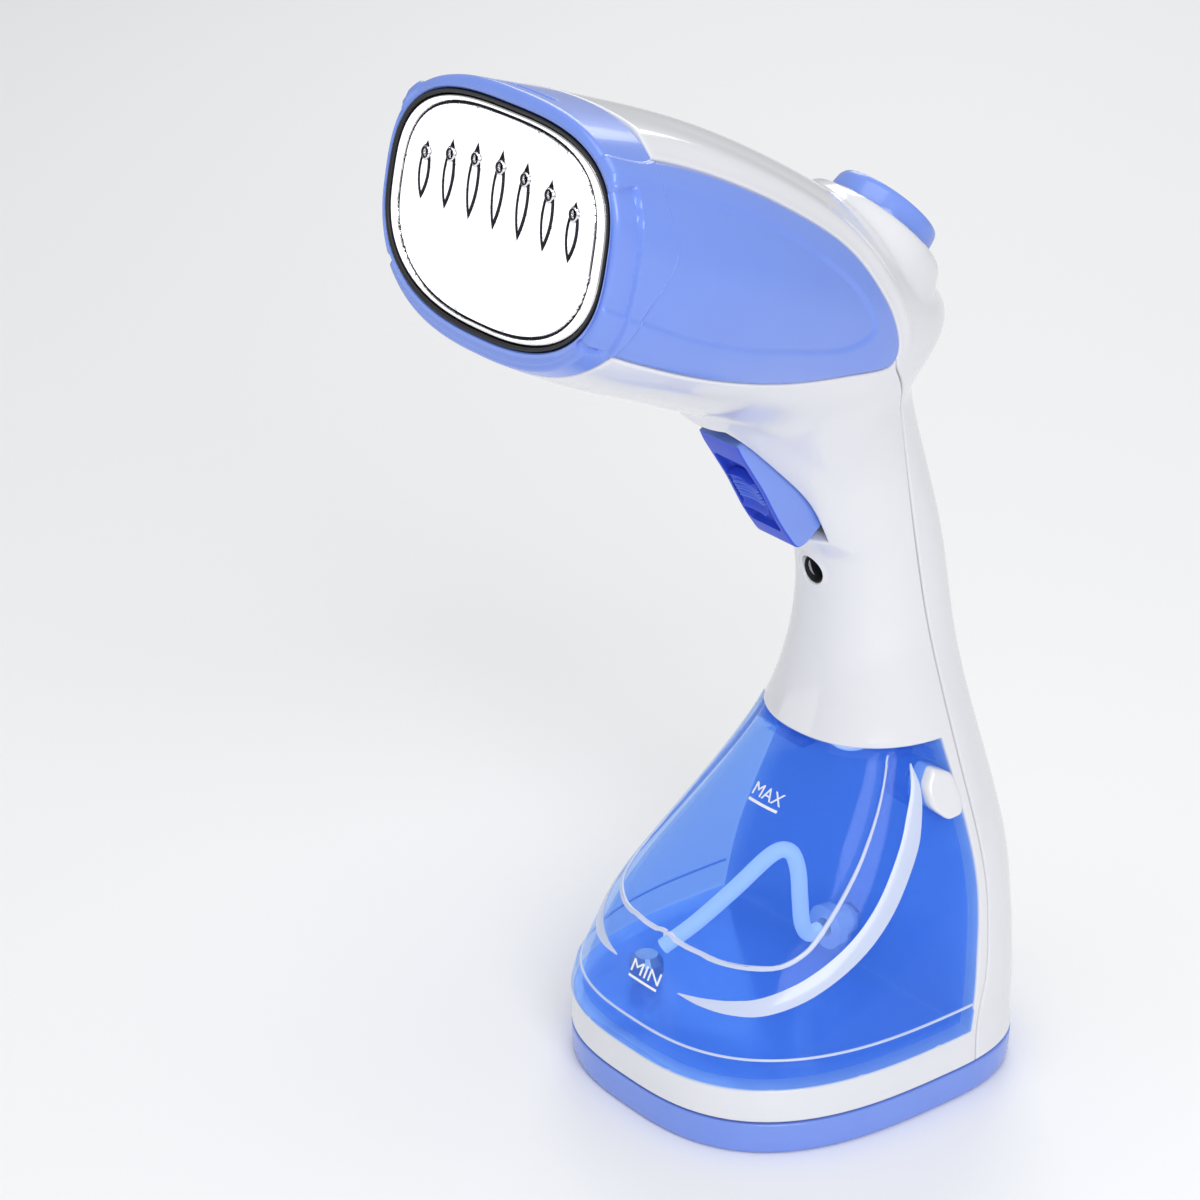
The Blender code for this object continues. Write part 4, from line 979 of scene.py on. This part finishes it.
def bezel_skin():
    """(outer rings, inner rings) of the bezel from its seam to its front, each a ring of points."""
    turn = np.arange(BEZEL_COLUMNS) / BEZEL_COLUMNS
    from_seam = [solve_rows(turn, lambda p, d=d: -behind_bezel(p) - d, *BEZEL_ROWS)
                 for d in [SEAM / 2 + share * EDGE for share in ROUNDING]]
    last = seen_from_plate(casing(np.column_stack([turn, np.full(len(turn), LAST_ROW)])))[:, 2]
    to_front = [solve_rows(turn, lambda p, d=d: seen_from_plate(p)[:, 2] - last + d, *BEZEL_ROWS)
                for d in [share * BEZEL_FRONT for share in (1, 0.617, 0.293, 0.076)]]
    start, end = from_seam[-1], to_front[0]
    between = [start + (end - start) * i / BEZEL_STEPS for i in range(1, BEZEL_STEPS)]
    rows = from_seam + between + to_front + [np.full(len(turn), LAST_ROW)]
    outer, inner = [], []
    for row in rows:
        place = np.column_stack([turn, row])
        points, normals = casing(place), outward(place)
        ahead = last - seen_from_plate(points)[:, 2]
        depth = rolled_in(-behind_bezel(points) - SEAM / 2) + rolled_in(ahead, BEZEL_FRONT)
        depth = depth + bezel_relief(points)
        outer.append(points - normals * depth[:, None])
        inner.append(points - normals * BEZEL_WALL)
    return outer, inner


def mouth_ring(grow, height):
    """The mouth's outline in the plate's frame, one point for each column of the bezel."""
    outline = egg(PLATE_HALF_WIDTH + grow, PLATE_HALF_HEIGHT + grow, PLATE_POWERS, BEZEL_COLUMNS)
    return through(PLATE_FRAME, at_height(outline, height))


def make_bezel():
    outer, inner = bezel_skin()
    gap = GASKET + 0.0003
    lip = [mouth_ring(gap + out, up) for out, up in ((0.0009, 0.0), (0.0004, -0.0001), (0.0001, -0.0004))]
    face = (outer[-1] + lip[0]) / 2 + np.array(PLATE_FRAME.col[2][:3]) * 0.0002
    walls = [mouth_ring(gap, up) for up in (-0.0008, -0.0060)]
    back = inner[-BEZEL_SET_BACK::-1]
    rings = outer + [face] + lip + walls + [(walls[-1] + back[0]) / 2] + back
    polygons = ring_polygons(len(rings), BEZEL_COLUMNS)
    piece = mesh_piece("bezel", np.vstack(rings), polygons, BLUE, crease=32, flip=True)
    return belongs(piece, "housing", "casing_blue", "nozzle_bezel")


def make_gasket():
    """A bead carried round the plate's outline."""
    outline = egg(PLATE_HALF_WIDTH, PLATE_HALF_HEIGHT, PLATE_POWERS, PLATE_POINTS)
    normals = outline_normals(outline)
    bead = rounded([(0.0001, -0.0070), (0.0010, -0.0070), (0.0010, 0.0002), (0.0001, -0.0001)], 0.0004)
    rings = [at_height(outline + normals * out, up) for out, up in bead]
    polygons = ring_polygons(len(bead), len(outline))
    piece = mesh_piece("plate_seal", np.vstack(rings), polygons, RUBBER, PLATE_FRAME, flip=True)
    return belongs(piece, "housing", "gasket_rubber", "plate_gasket")


# ---------------------------------------------------------------- steam plate

LEAF_BOTTOM = -0.0022
LEAF_HALF_WIDTH = 0.0022
LEAF_TOPS = (0.0164, 0.0159, 0.0143, 0.0118)  # from the middle leaf outwards
GROOVE = (0.0357, 0.0241)  # half width and half height of the stamped groove


def on_plate(places):
    return at_height(places, 0.0)


def jet_centre(i):
    """Where the i-th jet from the middle lies."""
    return i * JET_PITCH, JET_TOP - JET_FALL * (2 * i / (JET_COUNT - 1)) ** 2


def in_leaves(points):
    """Positive inside the pointed leaf round each jet, which is where two circles overlap."""
    found = []
    for i, top in enumerate(LEAF_TOPS):
        half = (top - LEAF_BOTTOM) / 2
        radius = (LEAF_HALF_WIDTH**2 + half**2) / (2 * LEAF_HALF_WIDTH)
        y = points[:, 1] - LEAF_BOTTOM - half
        x = np.abs(points[:, 0] - i * JET_PITCH) + radius - LEAF_HALF_WIDTH
        found.append(radius - np.hypot(x, y))
    return np.max(found, axis=0)


def off_jets(points):
    centres = [jet_centre(i) for i in range(len(LEAF_TOPS))]
    found = [np.hypot(points[:, 0] - x, points[:, 1] - y) for x, y in centres]
    return np.min(found, axis=0) - JET_RADIUS


plate_outline = egg(PLATE_HALF_WIDTH - 0.0002, PLATE_HALF_HEIGHT - 0.0002, PLATE_POWERS, PLATE_POINTS)
inside_plate = distance_to(plate_outline, closed=True, view=(0, 1))
from_groove = distance_to(egg(*GROOVE, PLATE_POWERS, PLATE_POINTS), closed=True, view=(0, 1))


def plate_relief(points):
    leaf, jet = in_leaves(points), off_jets(points)
    scoop = 0.0006 * ease(leaf / 0.0003) - 0.0007 * ease((leaf - 0.0004) / 0.0006)
    eyelet = 0.0006 * ease(1 - np.abs(jet - 0.00035) / 0.00055)
    groove = 0.0006 * ease(1 - np.abs(from_groove(points)) / 0.00045)
    return scoop * ease((jet - 0.0004) / 0.0004) + groove - eyelet * (leaf > -0.002)


def fine_in_leaves():
    """A grid over half the plate, fine where the leaves are."""
    x = np.concatenate([np.arange(0, 0.0305, 0.00028), np.linspace(0.0310, 0.0400, 12)])
    low, high = np.linspace(-0.0262, -0.0030, 26), np.linspace(0.0180, 0.0262, 10)
    y = np.concatenate([low, np.arange(-0.0027, 0.0178, 0.00028), high])
    return np.array([(a, b) for b in y for a in x]), grid_faces(len(x) - 1, len(y) - 1)


def make_steam_plate():
    mesh = fine_in_leaves()
    mesh = split(mesh, inside_plate, [share * EDGE for share in ROUNDING], on_plate)
    mesh = split(mesh, in_leaves, (0.0, 0.0003, 0.0006, 0.0010), on_plate)
    mesh = split(mesh, off_jets, (0.0, 0.00018, 0.00035, 0.0006, 0.0009), on_plate)
    mesh = split(mesh, from_groove, (-0.00045, -0.00022, 0.0, 0.00022, 0.00045), on_plate)
    places, faces = keep(mesh, least(inside_plate, off_jets), 0.0, on_plate)
    at = on_plate(places)
    depth = plate_relief(at) + rolled_in(inside_plate(at))
    outer, inner = at - np.outer(depth, (0, 0, 1)), at - (0, 0, 0.0018)
    points, polygons = shell_polygons(outer, inner, faces, np.zeros(len(at), bool))
    middle = on_plate(places)[faces].mean(1)
    leaf, jet = in_leaves(middle), off_jets(middle)
    # Painted shade: the walls of the leaves' outlines, the groove and the rims round the jet holes take the
    # near-black finish.
    painted_shade_faces = (leaf > 0) & (leaf < 0.0010) & (jet > 0.0006)
    painted_shade_faces |= (np.abs(from_groove(middle)) < 0.0003) | (jet < 0.00035)
    picks = np.zeros(len(polygons), int)
    picks[: 2 * len(faces)] = np.tile(painted_shade_faces, 2)
    place = PLATE_FRAME @ Matrix.Translation((0, 0, -PLATE_SET_BACK + 0.0004))
    piece = mesh_piece("plate", points, polygons, [CHROME, PAINTED_RECESS_SHADE], place, picks=picks)
    return belongs(piece, "housing", "polished_steel", "steam_plate")


# ---------------------------------------------------------------- dial


def scalloped(points):
    """Two finger hollows in the knob's side."""
    angle = np.arctan2(points[:, 1], points[:, 0])
    away = np.hypot(points[:, 0], points[:, 1])
    found = points.copy()
    for middle in (math.radians(44), math.radians(-136)):
        turn = np.abs((angle - middle + math.pi) % (2 * math.pi) - math.pi)
        share = ease(1 - turn / math.radians(16)) * ease((away - 0.0118) / 0.0016)
        found[:, :2] *= (1 - 0.0020 * share / np.maximum(away, 0.001))[:, None]
    return found


def make_dial():
    """Knob with its index ring, which carries a pointer, and its cap."""
    top, under = DIAL_HEIGHT, DIAL_HEIGHT - 0.0018
    knob = [
        (0.0030, top - 0.0022), (0.0120, top - 0.0022), (0.0122, top - 0.0002), (0.0136, top, 0.0006),
        (0.0146, top - 0.0016, 0.0012), (DIAL_RADIUS, 0.0014), (DIAL_RADIUS, 0.0003), (0.0030, 0.0003),
    ]
    piece = turned("knob", knob, DIAL_FRAME, BLUE, 128, shape=scalloped)
    belongs(piece, "dial", "casing_blue", "dial_knob")
    ring = [(0.0099, under), (0.0119, under), (0.0119, top + 0.0004), (0.0099, top + 0.0004)]
    index = turned("index", ring, DIAL_FRAME, WHITE, 128)
    point = np.array([(0.0112, -0.0017), (0.0140, 0.0), (0.0112, 0.0017)])
    lean = DIAL_FRAME @ Matrix.Rotation(math.radians(POINTER_ANGLE), 4, "Z")
    pointer = slab("pointer", point, top - 0.0010, top + 0.00035, WHITE, lean, 0.0002)
    belongs(joined("index_ring", index, pointer), "dial", "casing_white", "dial_ring")
    cap = [
        (0, top + 0.0003), (0.0080, top + 0.0002, 0.0006), (0.0096, top - 0.0004, 0.0006),
        (0.0096, under), (0, under),
    ]
    piece = turned("index_cap", cap, DIAL_FRAME, PALE_BLUE, 96)
    belongs(piece, "dial", "casing_blue", "dial_cap")


def printed(name, flat_points, polygons, to_ray, tree, finish):
    """A thin closed print on the surface that the tree holds: flat shapes dropped onto it along rays."""
    upper, lower = [], []
    for point in flat_points:
        start, direction = to_ray(point)
        place, normal, _, _ = tree.ray_cast(start, direction)
        if normal.dot(direction) > 0:
            normal = -normal
        upper.append(place + normal * PRINT_LIFT)
        lower.append(place - normal * PRINT_LIFT)
    return mesh_piece(name, upper + lower, thickened(polygons, len(upper)), finish)


def dial_ray(point):
    return DIAL_FRAME @ Vector((*point, 0.02)), -DIAL_FRAME.col[2].to_3d()


def on_circle(reach, angle):
    return reach * math.cos(angle), reach * math.sin(angle)


def print_dial_scale(cover):
    """A crescent that grows from low to high, and a dot at each setting."""
    tree = tree_of(cover)
    first, last = [math.radians(angle) for angle in CRESCENT_ANGLES]
    thin, thick = CRESCENT_WIDTHS
    steps, columns = 84, 4
    points = []
    for i in range(steps + 1):
        t = i / steps
        width = thin + (thick - thin) * min(1, 1.6 * t)
        for j in range(columns):
            reach = DIAL_RADIUS + 0.0004 + width * j / (columns - 1)
            points.append(on_circle(reach, first + (last - first) * t))
    faces = [face[::-1] for face in quads(steps + 1, columns)]
    prints = [printed("crescent", points, faces, dial_ray, tree, INK)]
    for degrees in DOT_ANGLES:
        x, y = on_circle(DIAL_RADIUS + 0.0027, math.radians(degrees))
        rim = [on_circle(DOT_RADIUS, k * math.pi / 9) for k in range(18)]
        dot = [(x + across, y + along) for across, along in rim]
        prints.append(printed("dot", dot, [list(range(18))], dial_ray, tree, INK))
    belongs(joined("dial_scale", *prints), "housing", "dark_plastic")


# ---------------------------------------------------------------- trigger


def make_trigger():
    """Trigger with a hollow in its front for the ribbed lock; its front faces take a deeper blue as painted
    shade.
    """
    outline = smooth_path(TRIGGER_OUTLINE + TRIGGER_OUTLINE[:1], 6)[:-1]
    width = TRIGGER_HALF_WIDTH
    body = side_slab("trigger_body", outline, -width, width, BLUE, 0.0009)
    hollow = box("hollow", *TRIGGER_HOLLOW, DEEP_BLUE_AND_PAINTED_SHADE, LOCK_FRAME, 0.0014)
    piece = cut(body, [hollow])
    front = LOCK_FRAME.col[2].to_3d()
    deep = piece.data.materials.find(DEEP_BLUE_AND_PAINTED_SHADE.name)
    turn = piece.matrix_world.to_3x3()
    # Painted shade: the faces that face front take the deeper blue.
    for polygon in piece.data.polygons:
        if (turn @ polygon.normal).dot(front) > 0.5:
            polygon.material_index = deep
    belongs(smoothed(piece, 35), "trigger", "casing_blue", "trigger")


def rib_height(t):
    """How far the ribs rise at a share t of the lock's length."""
    if not RIBS_FROM < t < RIBS_TO:
        return 0.0
    ribs = (t - RIBS_FROM) / (RIBS_TO - RIBS_FROM) * RIB_COUNT
    return RIB_RISE * max(0.0, math.sin(2 * math.pi * ribs))


def make_lock():
    """The lock: a thumb pad with five ribs between two curled lips; the ribs' tops take a lighter blue as
    painted highlight.
    """
    low, high = -LOCK_LENGTH / 2, LOCK_LENGTH / 2 - 0.0030
    rows, columns = 120, 15
    points, crests = [], []
    for i in range(rows + 1):
        t = i / rows
        lips = 0.0016 * ease(1 - t / 0.14) + 0.0012 * ease((t - 0.88) / 0.12)
        rise = lips + rib_height(t)
        # Painted highlight: the rows at the ribs' tops take the lighter blue.
        crests.append(rib_height(t) > RIB_RISE / 2)
        for j in range(columns):
            side = 2 * j / (columns - 1) - 1
            edge = ease((1 - abs(side)) * LOCK_HALF_WIDTH / 0.0007)
            bow = 0.0008 * (side**2 - 1)
            y = low + (high - low) * t - 0.0012 * side**2 * (t - 0.5)
            points.append((side * LOCK_HALF_WIDTH, y, -0.0006 + rise * edge + bow))
    faces = quads(rows + 1, columns)
    polygons = thickened(faces, len(points))
    picks = np.zeros(len(polygons), int)
    picks[: len(faces)] = np.repeat(crests[:-1], columns - 1)
    back = [(x, y, LOCK_BACK) for x, y, _ in points]
    finishes = [DEEP_BLUE_AND_PAINTED_SHADE, PAINTED_RIB_HIGHLIGHT]
    piece = mesh_piece("lock", points + back, polygons, finishes, LOCK_FRAME, crease=50, picks=picks)
    belongs(piece, "trigger_lock", "lock_blue", "trigger_lock")


def make_screw_well():
    """The tube that the handle screw sits in."""
    place = Matrix.Translation((0, 0, SCREW_HEIGHT)) @ ALONG_Y
    wall = [
        (0.0035, 0.0068), (0.0046, 0.0078), (0.0046, 0.0172), (0.0019, 0.0172), (0.0019, 0.0166),
        (0.0035, 0.0166),
    ]
    belongs(turned("screw_well", wall, place, DARK, 48, 0.0002), "housing", "dark_plastic")


# ---------------------------------------------------------------- water tank


def button_outline(grow, rounding=0.0016):
    """Seven-sided face of a release button, as (y, z)."""
    y, z = BUTTON_CENTRE
    a, b = BUTTON_SIZE[0] / 2 + grow, BUTTON_SIZE[1] / 2 + grow
    corners = [
        (y - a, z + b * 0.35), (y - a, z - b * 0.45), (y - a * 0.25, z - b), (y + a * 0.75, z - b * 0.95),
        (y + a, z - b * 0.4), (y + a * 0.8, z + b * 0.6), (y - a * 0.35, z + b),
    ]
    return anticlockwise(rounded(corners, rounding, 6))


ARC = [
    (0.0237, 0.1000), (0.0237, 0.0929), (0.0253, 0.0871), (0.0289, 0.0760), (0.0318, 0.0654),
    (0.0336, 0.0544), (0.0330, 0.0500), (0.0298, 0.0476), (0.0204, 0.0470), (0.0107, 0.0474),
    (0.0020, 0.0477), (-0.0100, 0.0477),
]
outside_arc = distance_to(smooth_path(ARC), view=(0, 2))


LEDGE = 0.0066  # height of the tank's lower lip above the deck
LEDGE_RIBS = (0.30, 0.80, 1.25, 1.75)  # angles from the front at which its joints lie


def tank_relief(points):
    """The plane inside the arc is sunk, and a ledge, ribs and a line run along the tank's edges."""
    front = ease((0.018 - points[:, 1]) / 0.010)
    sunk = 0.0009 * ease(-outside_arc(points) / 0.0012) * front
    low = over_deck(points)
    ledge = -0.0008 * ease((LEDGE - low) / 0.0008)
    line = 0.0003 * ease(1 - np.abs(behind_tank(points) + 0.0032) / 0.0006)
    turn = np.arctan2(np.abs(points[:, 0]), -points[:, 1])
    away = np.hypot(points[:, 0], points[:, 1])
    ribs = np.max([ease(1 - np.abs(turn - at) * away / 0.0011) for at in LEDGE_RIBS], axis=0)
    return sunk + ledge + line + 0.0005 * ribs * ease((LEDGE - 0.0008 - low) / 0.0006)


TANK_CREASES = [
    (outside_arc, (-0.0012, -0.0006, 0.0)), (over_deck, (LEDGE - 0.0008, LEDGE - 0.0004, LEDGE)),
    (behind_tank, (-0.0038, -0.0032, -0.0026)),
]


def closed_tank(name, start, relief, creases, pocket_grow, pocket_floor):
    """The tank's form as one solid, with a pocket for each release button."""
    seams = [other_side(behind_tank), other_side(over_ceiling), over_deck]
    outer, _, faces, _ = skin(seams, least(*seams), relief, creases, 0, TANK_ROWS, FINER, start)
    points, polygons, twin = both_halves(outer, faces)
    half = len(points) // 2
    one_half = [(a, b) for a, b in open_edges(polygons).tolist() if max(a, b) < half]
    across = [[b, a, int(twin[a]), int(twin[b])] for a, b in one_half]
    piece = mesh_piece(name, points, polygons.tolist() + across, TANK_BLUE)
    outline = button_outline(pocket_grow)
    reach = 0.06
    left = side_slab("pocket", outline, pocket_floor, reach, TANK_BLUE, 0.0004)
    right = side_slab("pocket", outline, -reach, -pocket_floor, TANK_BLUE, 0.0004)
    return cut(piece, [left, right])


def make_tank():
    """The tank's outer form and, turned inside out, its hollow."""

    def wall(points):
        return np.full(len(points), TANK_WALL)

    outer = closed_tank("outer", SEAM / 2, tank_relief, TANK_CREASES, 0.0003, POCKET_FLOOR_X)
    hollow = closed_tank("hollow", TANK_WALL, wall, (), 0.0018, POCKET_FLOOR_X - 0.0015)
    hollow.data.flip_normals()
    return belongs(smoothed(joined("tank", outer, hollow)), "tank", "tank_blue", "tank_shell")


def make_release_buttons():
    """Rounded seven-sided buttons that stand out of the tank's sides."""
    outline = button_outline(0.0, 0.0014)
    normals = outline_normals(outline)
    places, faces = half_grid(*BUTTON_ROWS)
    tree = BVHTree.FromPolygons(casing(places).tolist(), faces.tolist())
    inwards = Vector((-1, 0, 0))
    rings = [np.column_stack([np.full(len(outline), BUTTON_INNER_X), outline])]
    for inset, drop in rounded_edge(BUTTON_EDGE):
        ring = outline - normals * inset
        side = [tree.ray_cast(Vector((0.2, y, z)), inwards)[0].x for y, z in ring]
        rings.append(np.column_stack([np.array(side) + BUTTON_PROUD - drop, ring]))
    middle = rings[-1].mean(0)
    rings += [middle + (rings[-1] - middle) * share for share in (0.7, 0.4, 0.15)]
    points, polygons = capped(rings)
    for side, name in SIDES:
        piece = mesh_piece(f"button_{name}", points * (side, 1, 1), polygons, WHITE, flip=True)
        belongs(piece, f"button_{name}", "casing_white", f"release_button_{name}")


def front_ray(point):
    return Vector((point[0], -0.2, point[1])), Vector((0, 1, 0))


def level_mark(word, low, high, left, right, tree):
    """A level mark printed on the tank's front: the word over a line."""
    line_x = np.linspace(left, right, 12)
    line = [(x, low + up) for up in (-0.0003, 0.0003) for x in line_x]
    under = printed(f"{word}_line", line, quads(2, len(line_x)), front_ray, tree, WHITE_INK)
    data = bpy.data.curves.new(word, "FONT")
    data.body = word
    text = linked(word, data)
    bpy.context.view_layer.update()
    shape = text.evaluated_get(bpy.context.evaluated_depsgraph_get()).to_mesh()
    spots = np.array([v.co[:2] for v in shape.vertices])
    faces = [list(p.vertices) for p in shape.polygons]
    spots = (spots - spots.min(0)) / (spots.max(0) - spots.min(0))
    base = low + 0.0011
    spots = [(left + x * (right - left), base + y * (high - base)) for x, y in spots]
    bpy.data.objects.remove(text)
    letters = printed(f"{word}_word", spots, faces, front_ray, tree, WHITE_INK)
    return belongs(joined(f"level_{word.lower()}", under, letters), "tank", "tank_blue")


BAND = [
    (0.0285, 0.0150, 0.0905), (0.0300, 0.0150, 0.0840), (0.0323, 0.0125, 0.0775),
    (0.0353, 0.0080, 0.0701), (0.0386, -0.0017, 0.0591), (0.0395, -0.0123, 0.0509),
    (0.0374, -0.0245, 0.0443), (0.0328, -0.0345, 0.0407), (0.0262, -0.0398, 0.0391),
    (0.0190, -0.0432, 0.0386), (0.0120, -0.0450, 0.0385),
]
BAND_WIDTH = 0.0046
ARC_WIDTH = 0.0019
LIP_WIDTH = 0.0007


def swept_band(name, path, widths, tree):
    """A low pale strip, laid as a painted highlight on the surface that the tree holds, along the path."""
    across, upper, lower = 9, [], []
    for i, spot in enumerate(path):
        place, normal, _, _ = tree.find_nearest(Vector(spot))
        along = Vector(path[min(i + 1, len(path) - 1)] - path[max(i - 1, 0)])
        sideways = along.cross(normal).normalized()
        for j in range(across):
            s = 2 * j / (across - 1) - 1
            at, up, _, _ = tree.find_nearest(place + normal * 0.0008 + sideways * s * widths[i] / 2)
            upper.append(at + up * (0.00014 + 0.00026 * (1 - s * s)))
            lower.append(at - up * 0.0002)
    polygons = thickened(quads(len(path), across), len(upper))
    belongs(mesh_piece(name, upper + lower, polygons, PAINTED_HIGHLIGHT_STRIP, flip=True), "tank", "tank_blue")


def lip_path(tree):
    """Points along the tank's lower lip, from one rear corner round the front to the other."""
    found = []
    for angle in np.linspace(-2.2, 2.2, 160):
        out = Vector((math.sin(angle), -math.cos(angle), 0))
        start = out * 0.2 + Vector((0, 0, DECK_TOP + LEDGE + 0.0010))
        spot, normal, _, _ = tree.ray_cast(start, -out)
        if spot is not None and normal.y < 0.5:
            found.append(spot)
    return np.array(found)


def make_bands(tree):
    """Painted highlights on the tank, as pale strips: on each side a broad one, and a fine one on the rim of
    the sunk plane; and one along its lower lip.
    """
    broad = space_path(BAND, 6) * (1.06, 1.06, 1)
    share = np.linspace(0, 1, len(broad))
    broad_widths = BAND_WIDTH * np.sqrt(np.minimum(ease(share / 0.30), ease((1 - share) / 0.40))) + 0.0004
    flat = smooth_path(ARC[:-1] + [(-0.0004, 0.0477)], 4)
    rays = [front_ray(point) for point in flat[flat[:, 1] < 0.094]]
    seen = [tree.ray_cast(*ray)[0] for ray in rays]
    fine = np.array([spot for spot in seen if spot is not None])
    fine_widths = ARC_WIDTH * (0.35 + 0.65 * ease(np.linspace(0, 1, len(fine)) / 0.5))
    lip = lip_path(tree)
    swept_band("lip_line", lip, np.full(len(lip), LIP_WIDTH), tree)
    for side, name in SIDES:
        swept_band(f"band_{name}", broad * (side, 1, 1), broad_widths, tree)
        swept_band(f"arc_{name}", fine * (side, 1, 1), fine_widths, tree)


def make_hose():
    """A round hose along its route."""
    data = bpy.data.curves.new("pickup_hose", "CURVE")
    data.dimensions = "3D"
    data.bevel_depth = HOSE_RADIUS
    data.bevel_resolution = 5
    data.use_fill_caps = True
    path = space_path(HOSE_ROUTE, 6)
    line = data.splines.new("POLY")
    line.points.add(len(path) - 1)
    for spot, point in zip(line.points, path):
        spot.co = (*point, 1)
    line.use_smooth = True
    # The silicone glows weakly: painted light.
    data.materials.append(SILICONE)
    belongs(linked("pickup_hose", data), "tank", "silicone", "dip_hose")


# ---------------------------------------------------------------- base


def make_foot():
    """Foot tray with a rolled lower edge, and hollows for its pads and screws."""
    turn = np.arange(2 * COLUMNS) / (2 * COLUMNS)
    base = casing(np.column_stack([turn, np.zeros(2 * COLUMNS)]))[:, :2]
    top = FOOT_TOP - SEAM
    roll, taper, wall = 0.0016, 0.0006, 0.0022
    levels = [(taper + drop, inset) for inset, drop in rounded_edge(roll, 6)]
    levels += [(taper * (1 - (z / top) ** 0.5), z) for z in (0.0030, 0.0048, 0.0068)]
    levels += [(inset, top - drop) for inset, drop in rounded_edge(EDGE, 6)]
    levels += [(wall, top), (wall, 0.0030)]
    foot = stacked("foot", base, levels, BLUE)
    tools = [hole_tool(x, y, *PAD_HOLE) for x, y in FOOT_PADS]
    tools += [hole_tool(x, y, *SCREW_HOLE) for x, y in FOOT_SCREWS]
    return belongs(smoothed(cut(foot, tools)), "housing", "casing_blue", "base_foot")


def hole_tool(x, y, radius, depth):
    profile = [(0, -0.005, 0), (radius, -0.005, 0), (radius, depth, 0), (0, depth, 0)]
    return turned("hole", profile, Matrix.Translation((x, y, 0)), BLUE, 48)


def make_pads():
    for i, (x, y) in enumerate(FOOT_PADS):
        profile = [(0, 0.0, 0), (0.0050, 0.0), (0.0057, 0.0005), (0.0057, 0.0014), (0, 0.0014, 0)]
        piece = turned(f"pad_{i + 1}", profile, Matrix.Translation((x, y, 0)), GREY_RUBBER, 48)
        belongs(piece, "housing", "pad_rubber", f"foot_pad_{i + 1}")


def make_gland():
    wall = 0.0543  # where the base's rear wall lies, along the gland's axis
    profile = [
        (0.0036, wall - 0.0065), (0.0075, wall - 0.0065), (0.0075, wall - 0.0045), (0.0056, wall - 0.0045),
        (0.0056, wall + 0.0002), (0.0062, wall + 0.0003), (0.0062, wall + 0.0012), (0.0036, wall + 0.0012),
    ]
    piece = turned("gland", profile, Matrix.Translation((0, 0, GLAND_HEIGHT)) @ ALONG_Y, RUBBER, 64, 0.0005)
    belongs(piece, "housing", "gasket_rubber", "cord_gland")


# ---------------------------------------------------------------- what the CAD carries over


def finish_cad_nodes():
    """Each CAD node takes the finish of its slot in the record."""
    for part in frame["record"]["subparts"]:
        data = frame["nodes"][part["node"]].data
        data.materials.clear()
        data.materials.append(SLOTS[part["material_slot"]])


# ---------------------------------------------------------------- studio


def make_floor():
    bpy.ops.mesh.primitive_grid_add(x_subdivisions=60, y_subdivisions=60, size=6)
    floor = bpy.context.object
    floor.name = "floor"
    paper = moulded("studio_floor", (0.95, 0.95, 0.955), (0.94, 0.94, 0.945), 0.6, 0.0, 0.0, scale=2)
    floor.data.materials.append(paper)


def softbox(name, place, target, size, power):
    data = bpy.data.lights.new(name, "AREA")
    data.shape = "RECTANGLE"
    data.size, data.size_y = size
    data.energy = power
    made = linked(name, data)
    made.location = place
    made.visible_camera = False
    made.rotation_euler = (Vector(target) - Vector(place)).to_track_quat("-Z", "Y").to_euler()


def light_studio():
    world = bpy.data.worlds.new("studio")
    bpy.context.scene.world = world
    world.use_nodes = True
    world.node_tree.nodes["Background"].inputs["Color"].default_value = (0.97, 0.98, 1.0, 1)
    world.node_tree.nodes["Background"].inputs["Strength"].default_value = 0.44
    bpy.context.scene.view_settings.view_transform = "Standard"
    middle = (0, 0, 0.14)
    softbox("key", (1.15, -0.55, 0.95), middle, (0.8, 0.8), 10.5)
    softbox("top", (0.1, -0.2, 1.5), middle, (1.0, 1.0), 6)
    softbox("low_left", (-0.85, -0.95, 0.12), (0, -0.08, 0.24), (0.9, 0.7), 2.0)
    softbox("rim", (-0.9, 0.9, 0.9), middle, (0.7, 0.7), 4)


def place_camera():
    data = bpy.data.cameras.new("camera")
    data.sensor_width = 36
    data.lens = 114
    camera = linked("camera", data)
    camera.location = (0.6512, -0.5762, 0.5346)
    camera.rotation_euler = (math.radians(65), 0, math.radians(51.7))
    bpy.context.scene.camera = camera


# ---------------------------------------------------------------- main


def main():
    cover = make_rear_cover()
    make_front_housing()
    make_side_panels()
    make_bezel()
    make_gasket()
    make_steam_plate()
    make_dial()
    print_dial_scale(cover)
    make_trigger()
    make_lock()
    make_screw_well()
    tank = tree_of(make_tank())
    make_release_buttons()
    for word, z_range, x_range in LEVELS:
        level_mark(word, *z_range, *x_range, tank)
    make_bands(tank)
    make_hose()
    make_foot()
    make_pads()
    make_gland()
    finish_cad_nodes()
    make_floor()
    light_studio()
    place_camera()


main()
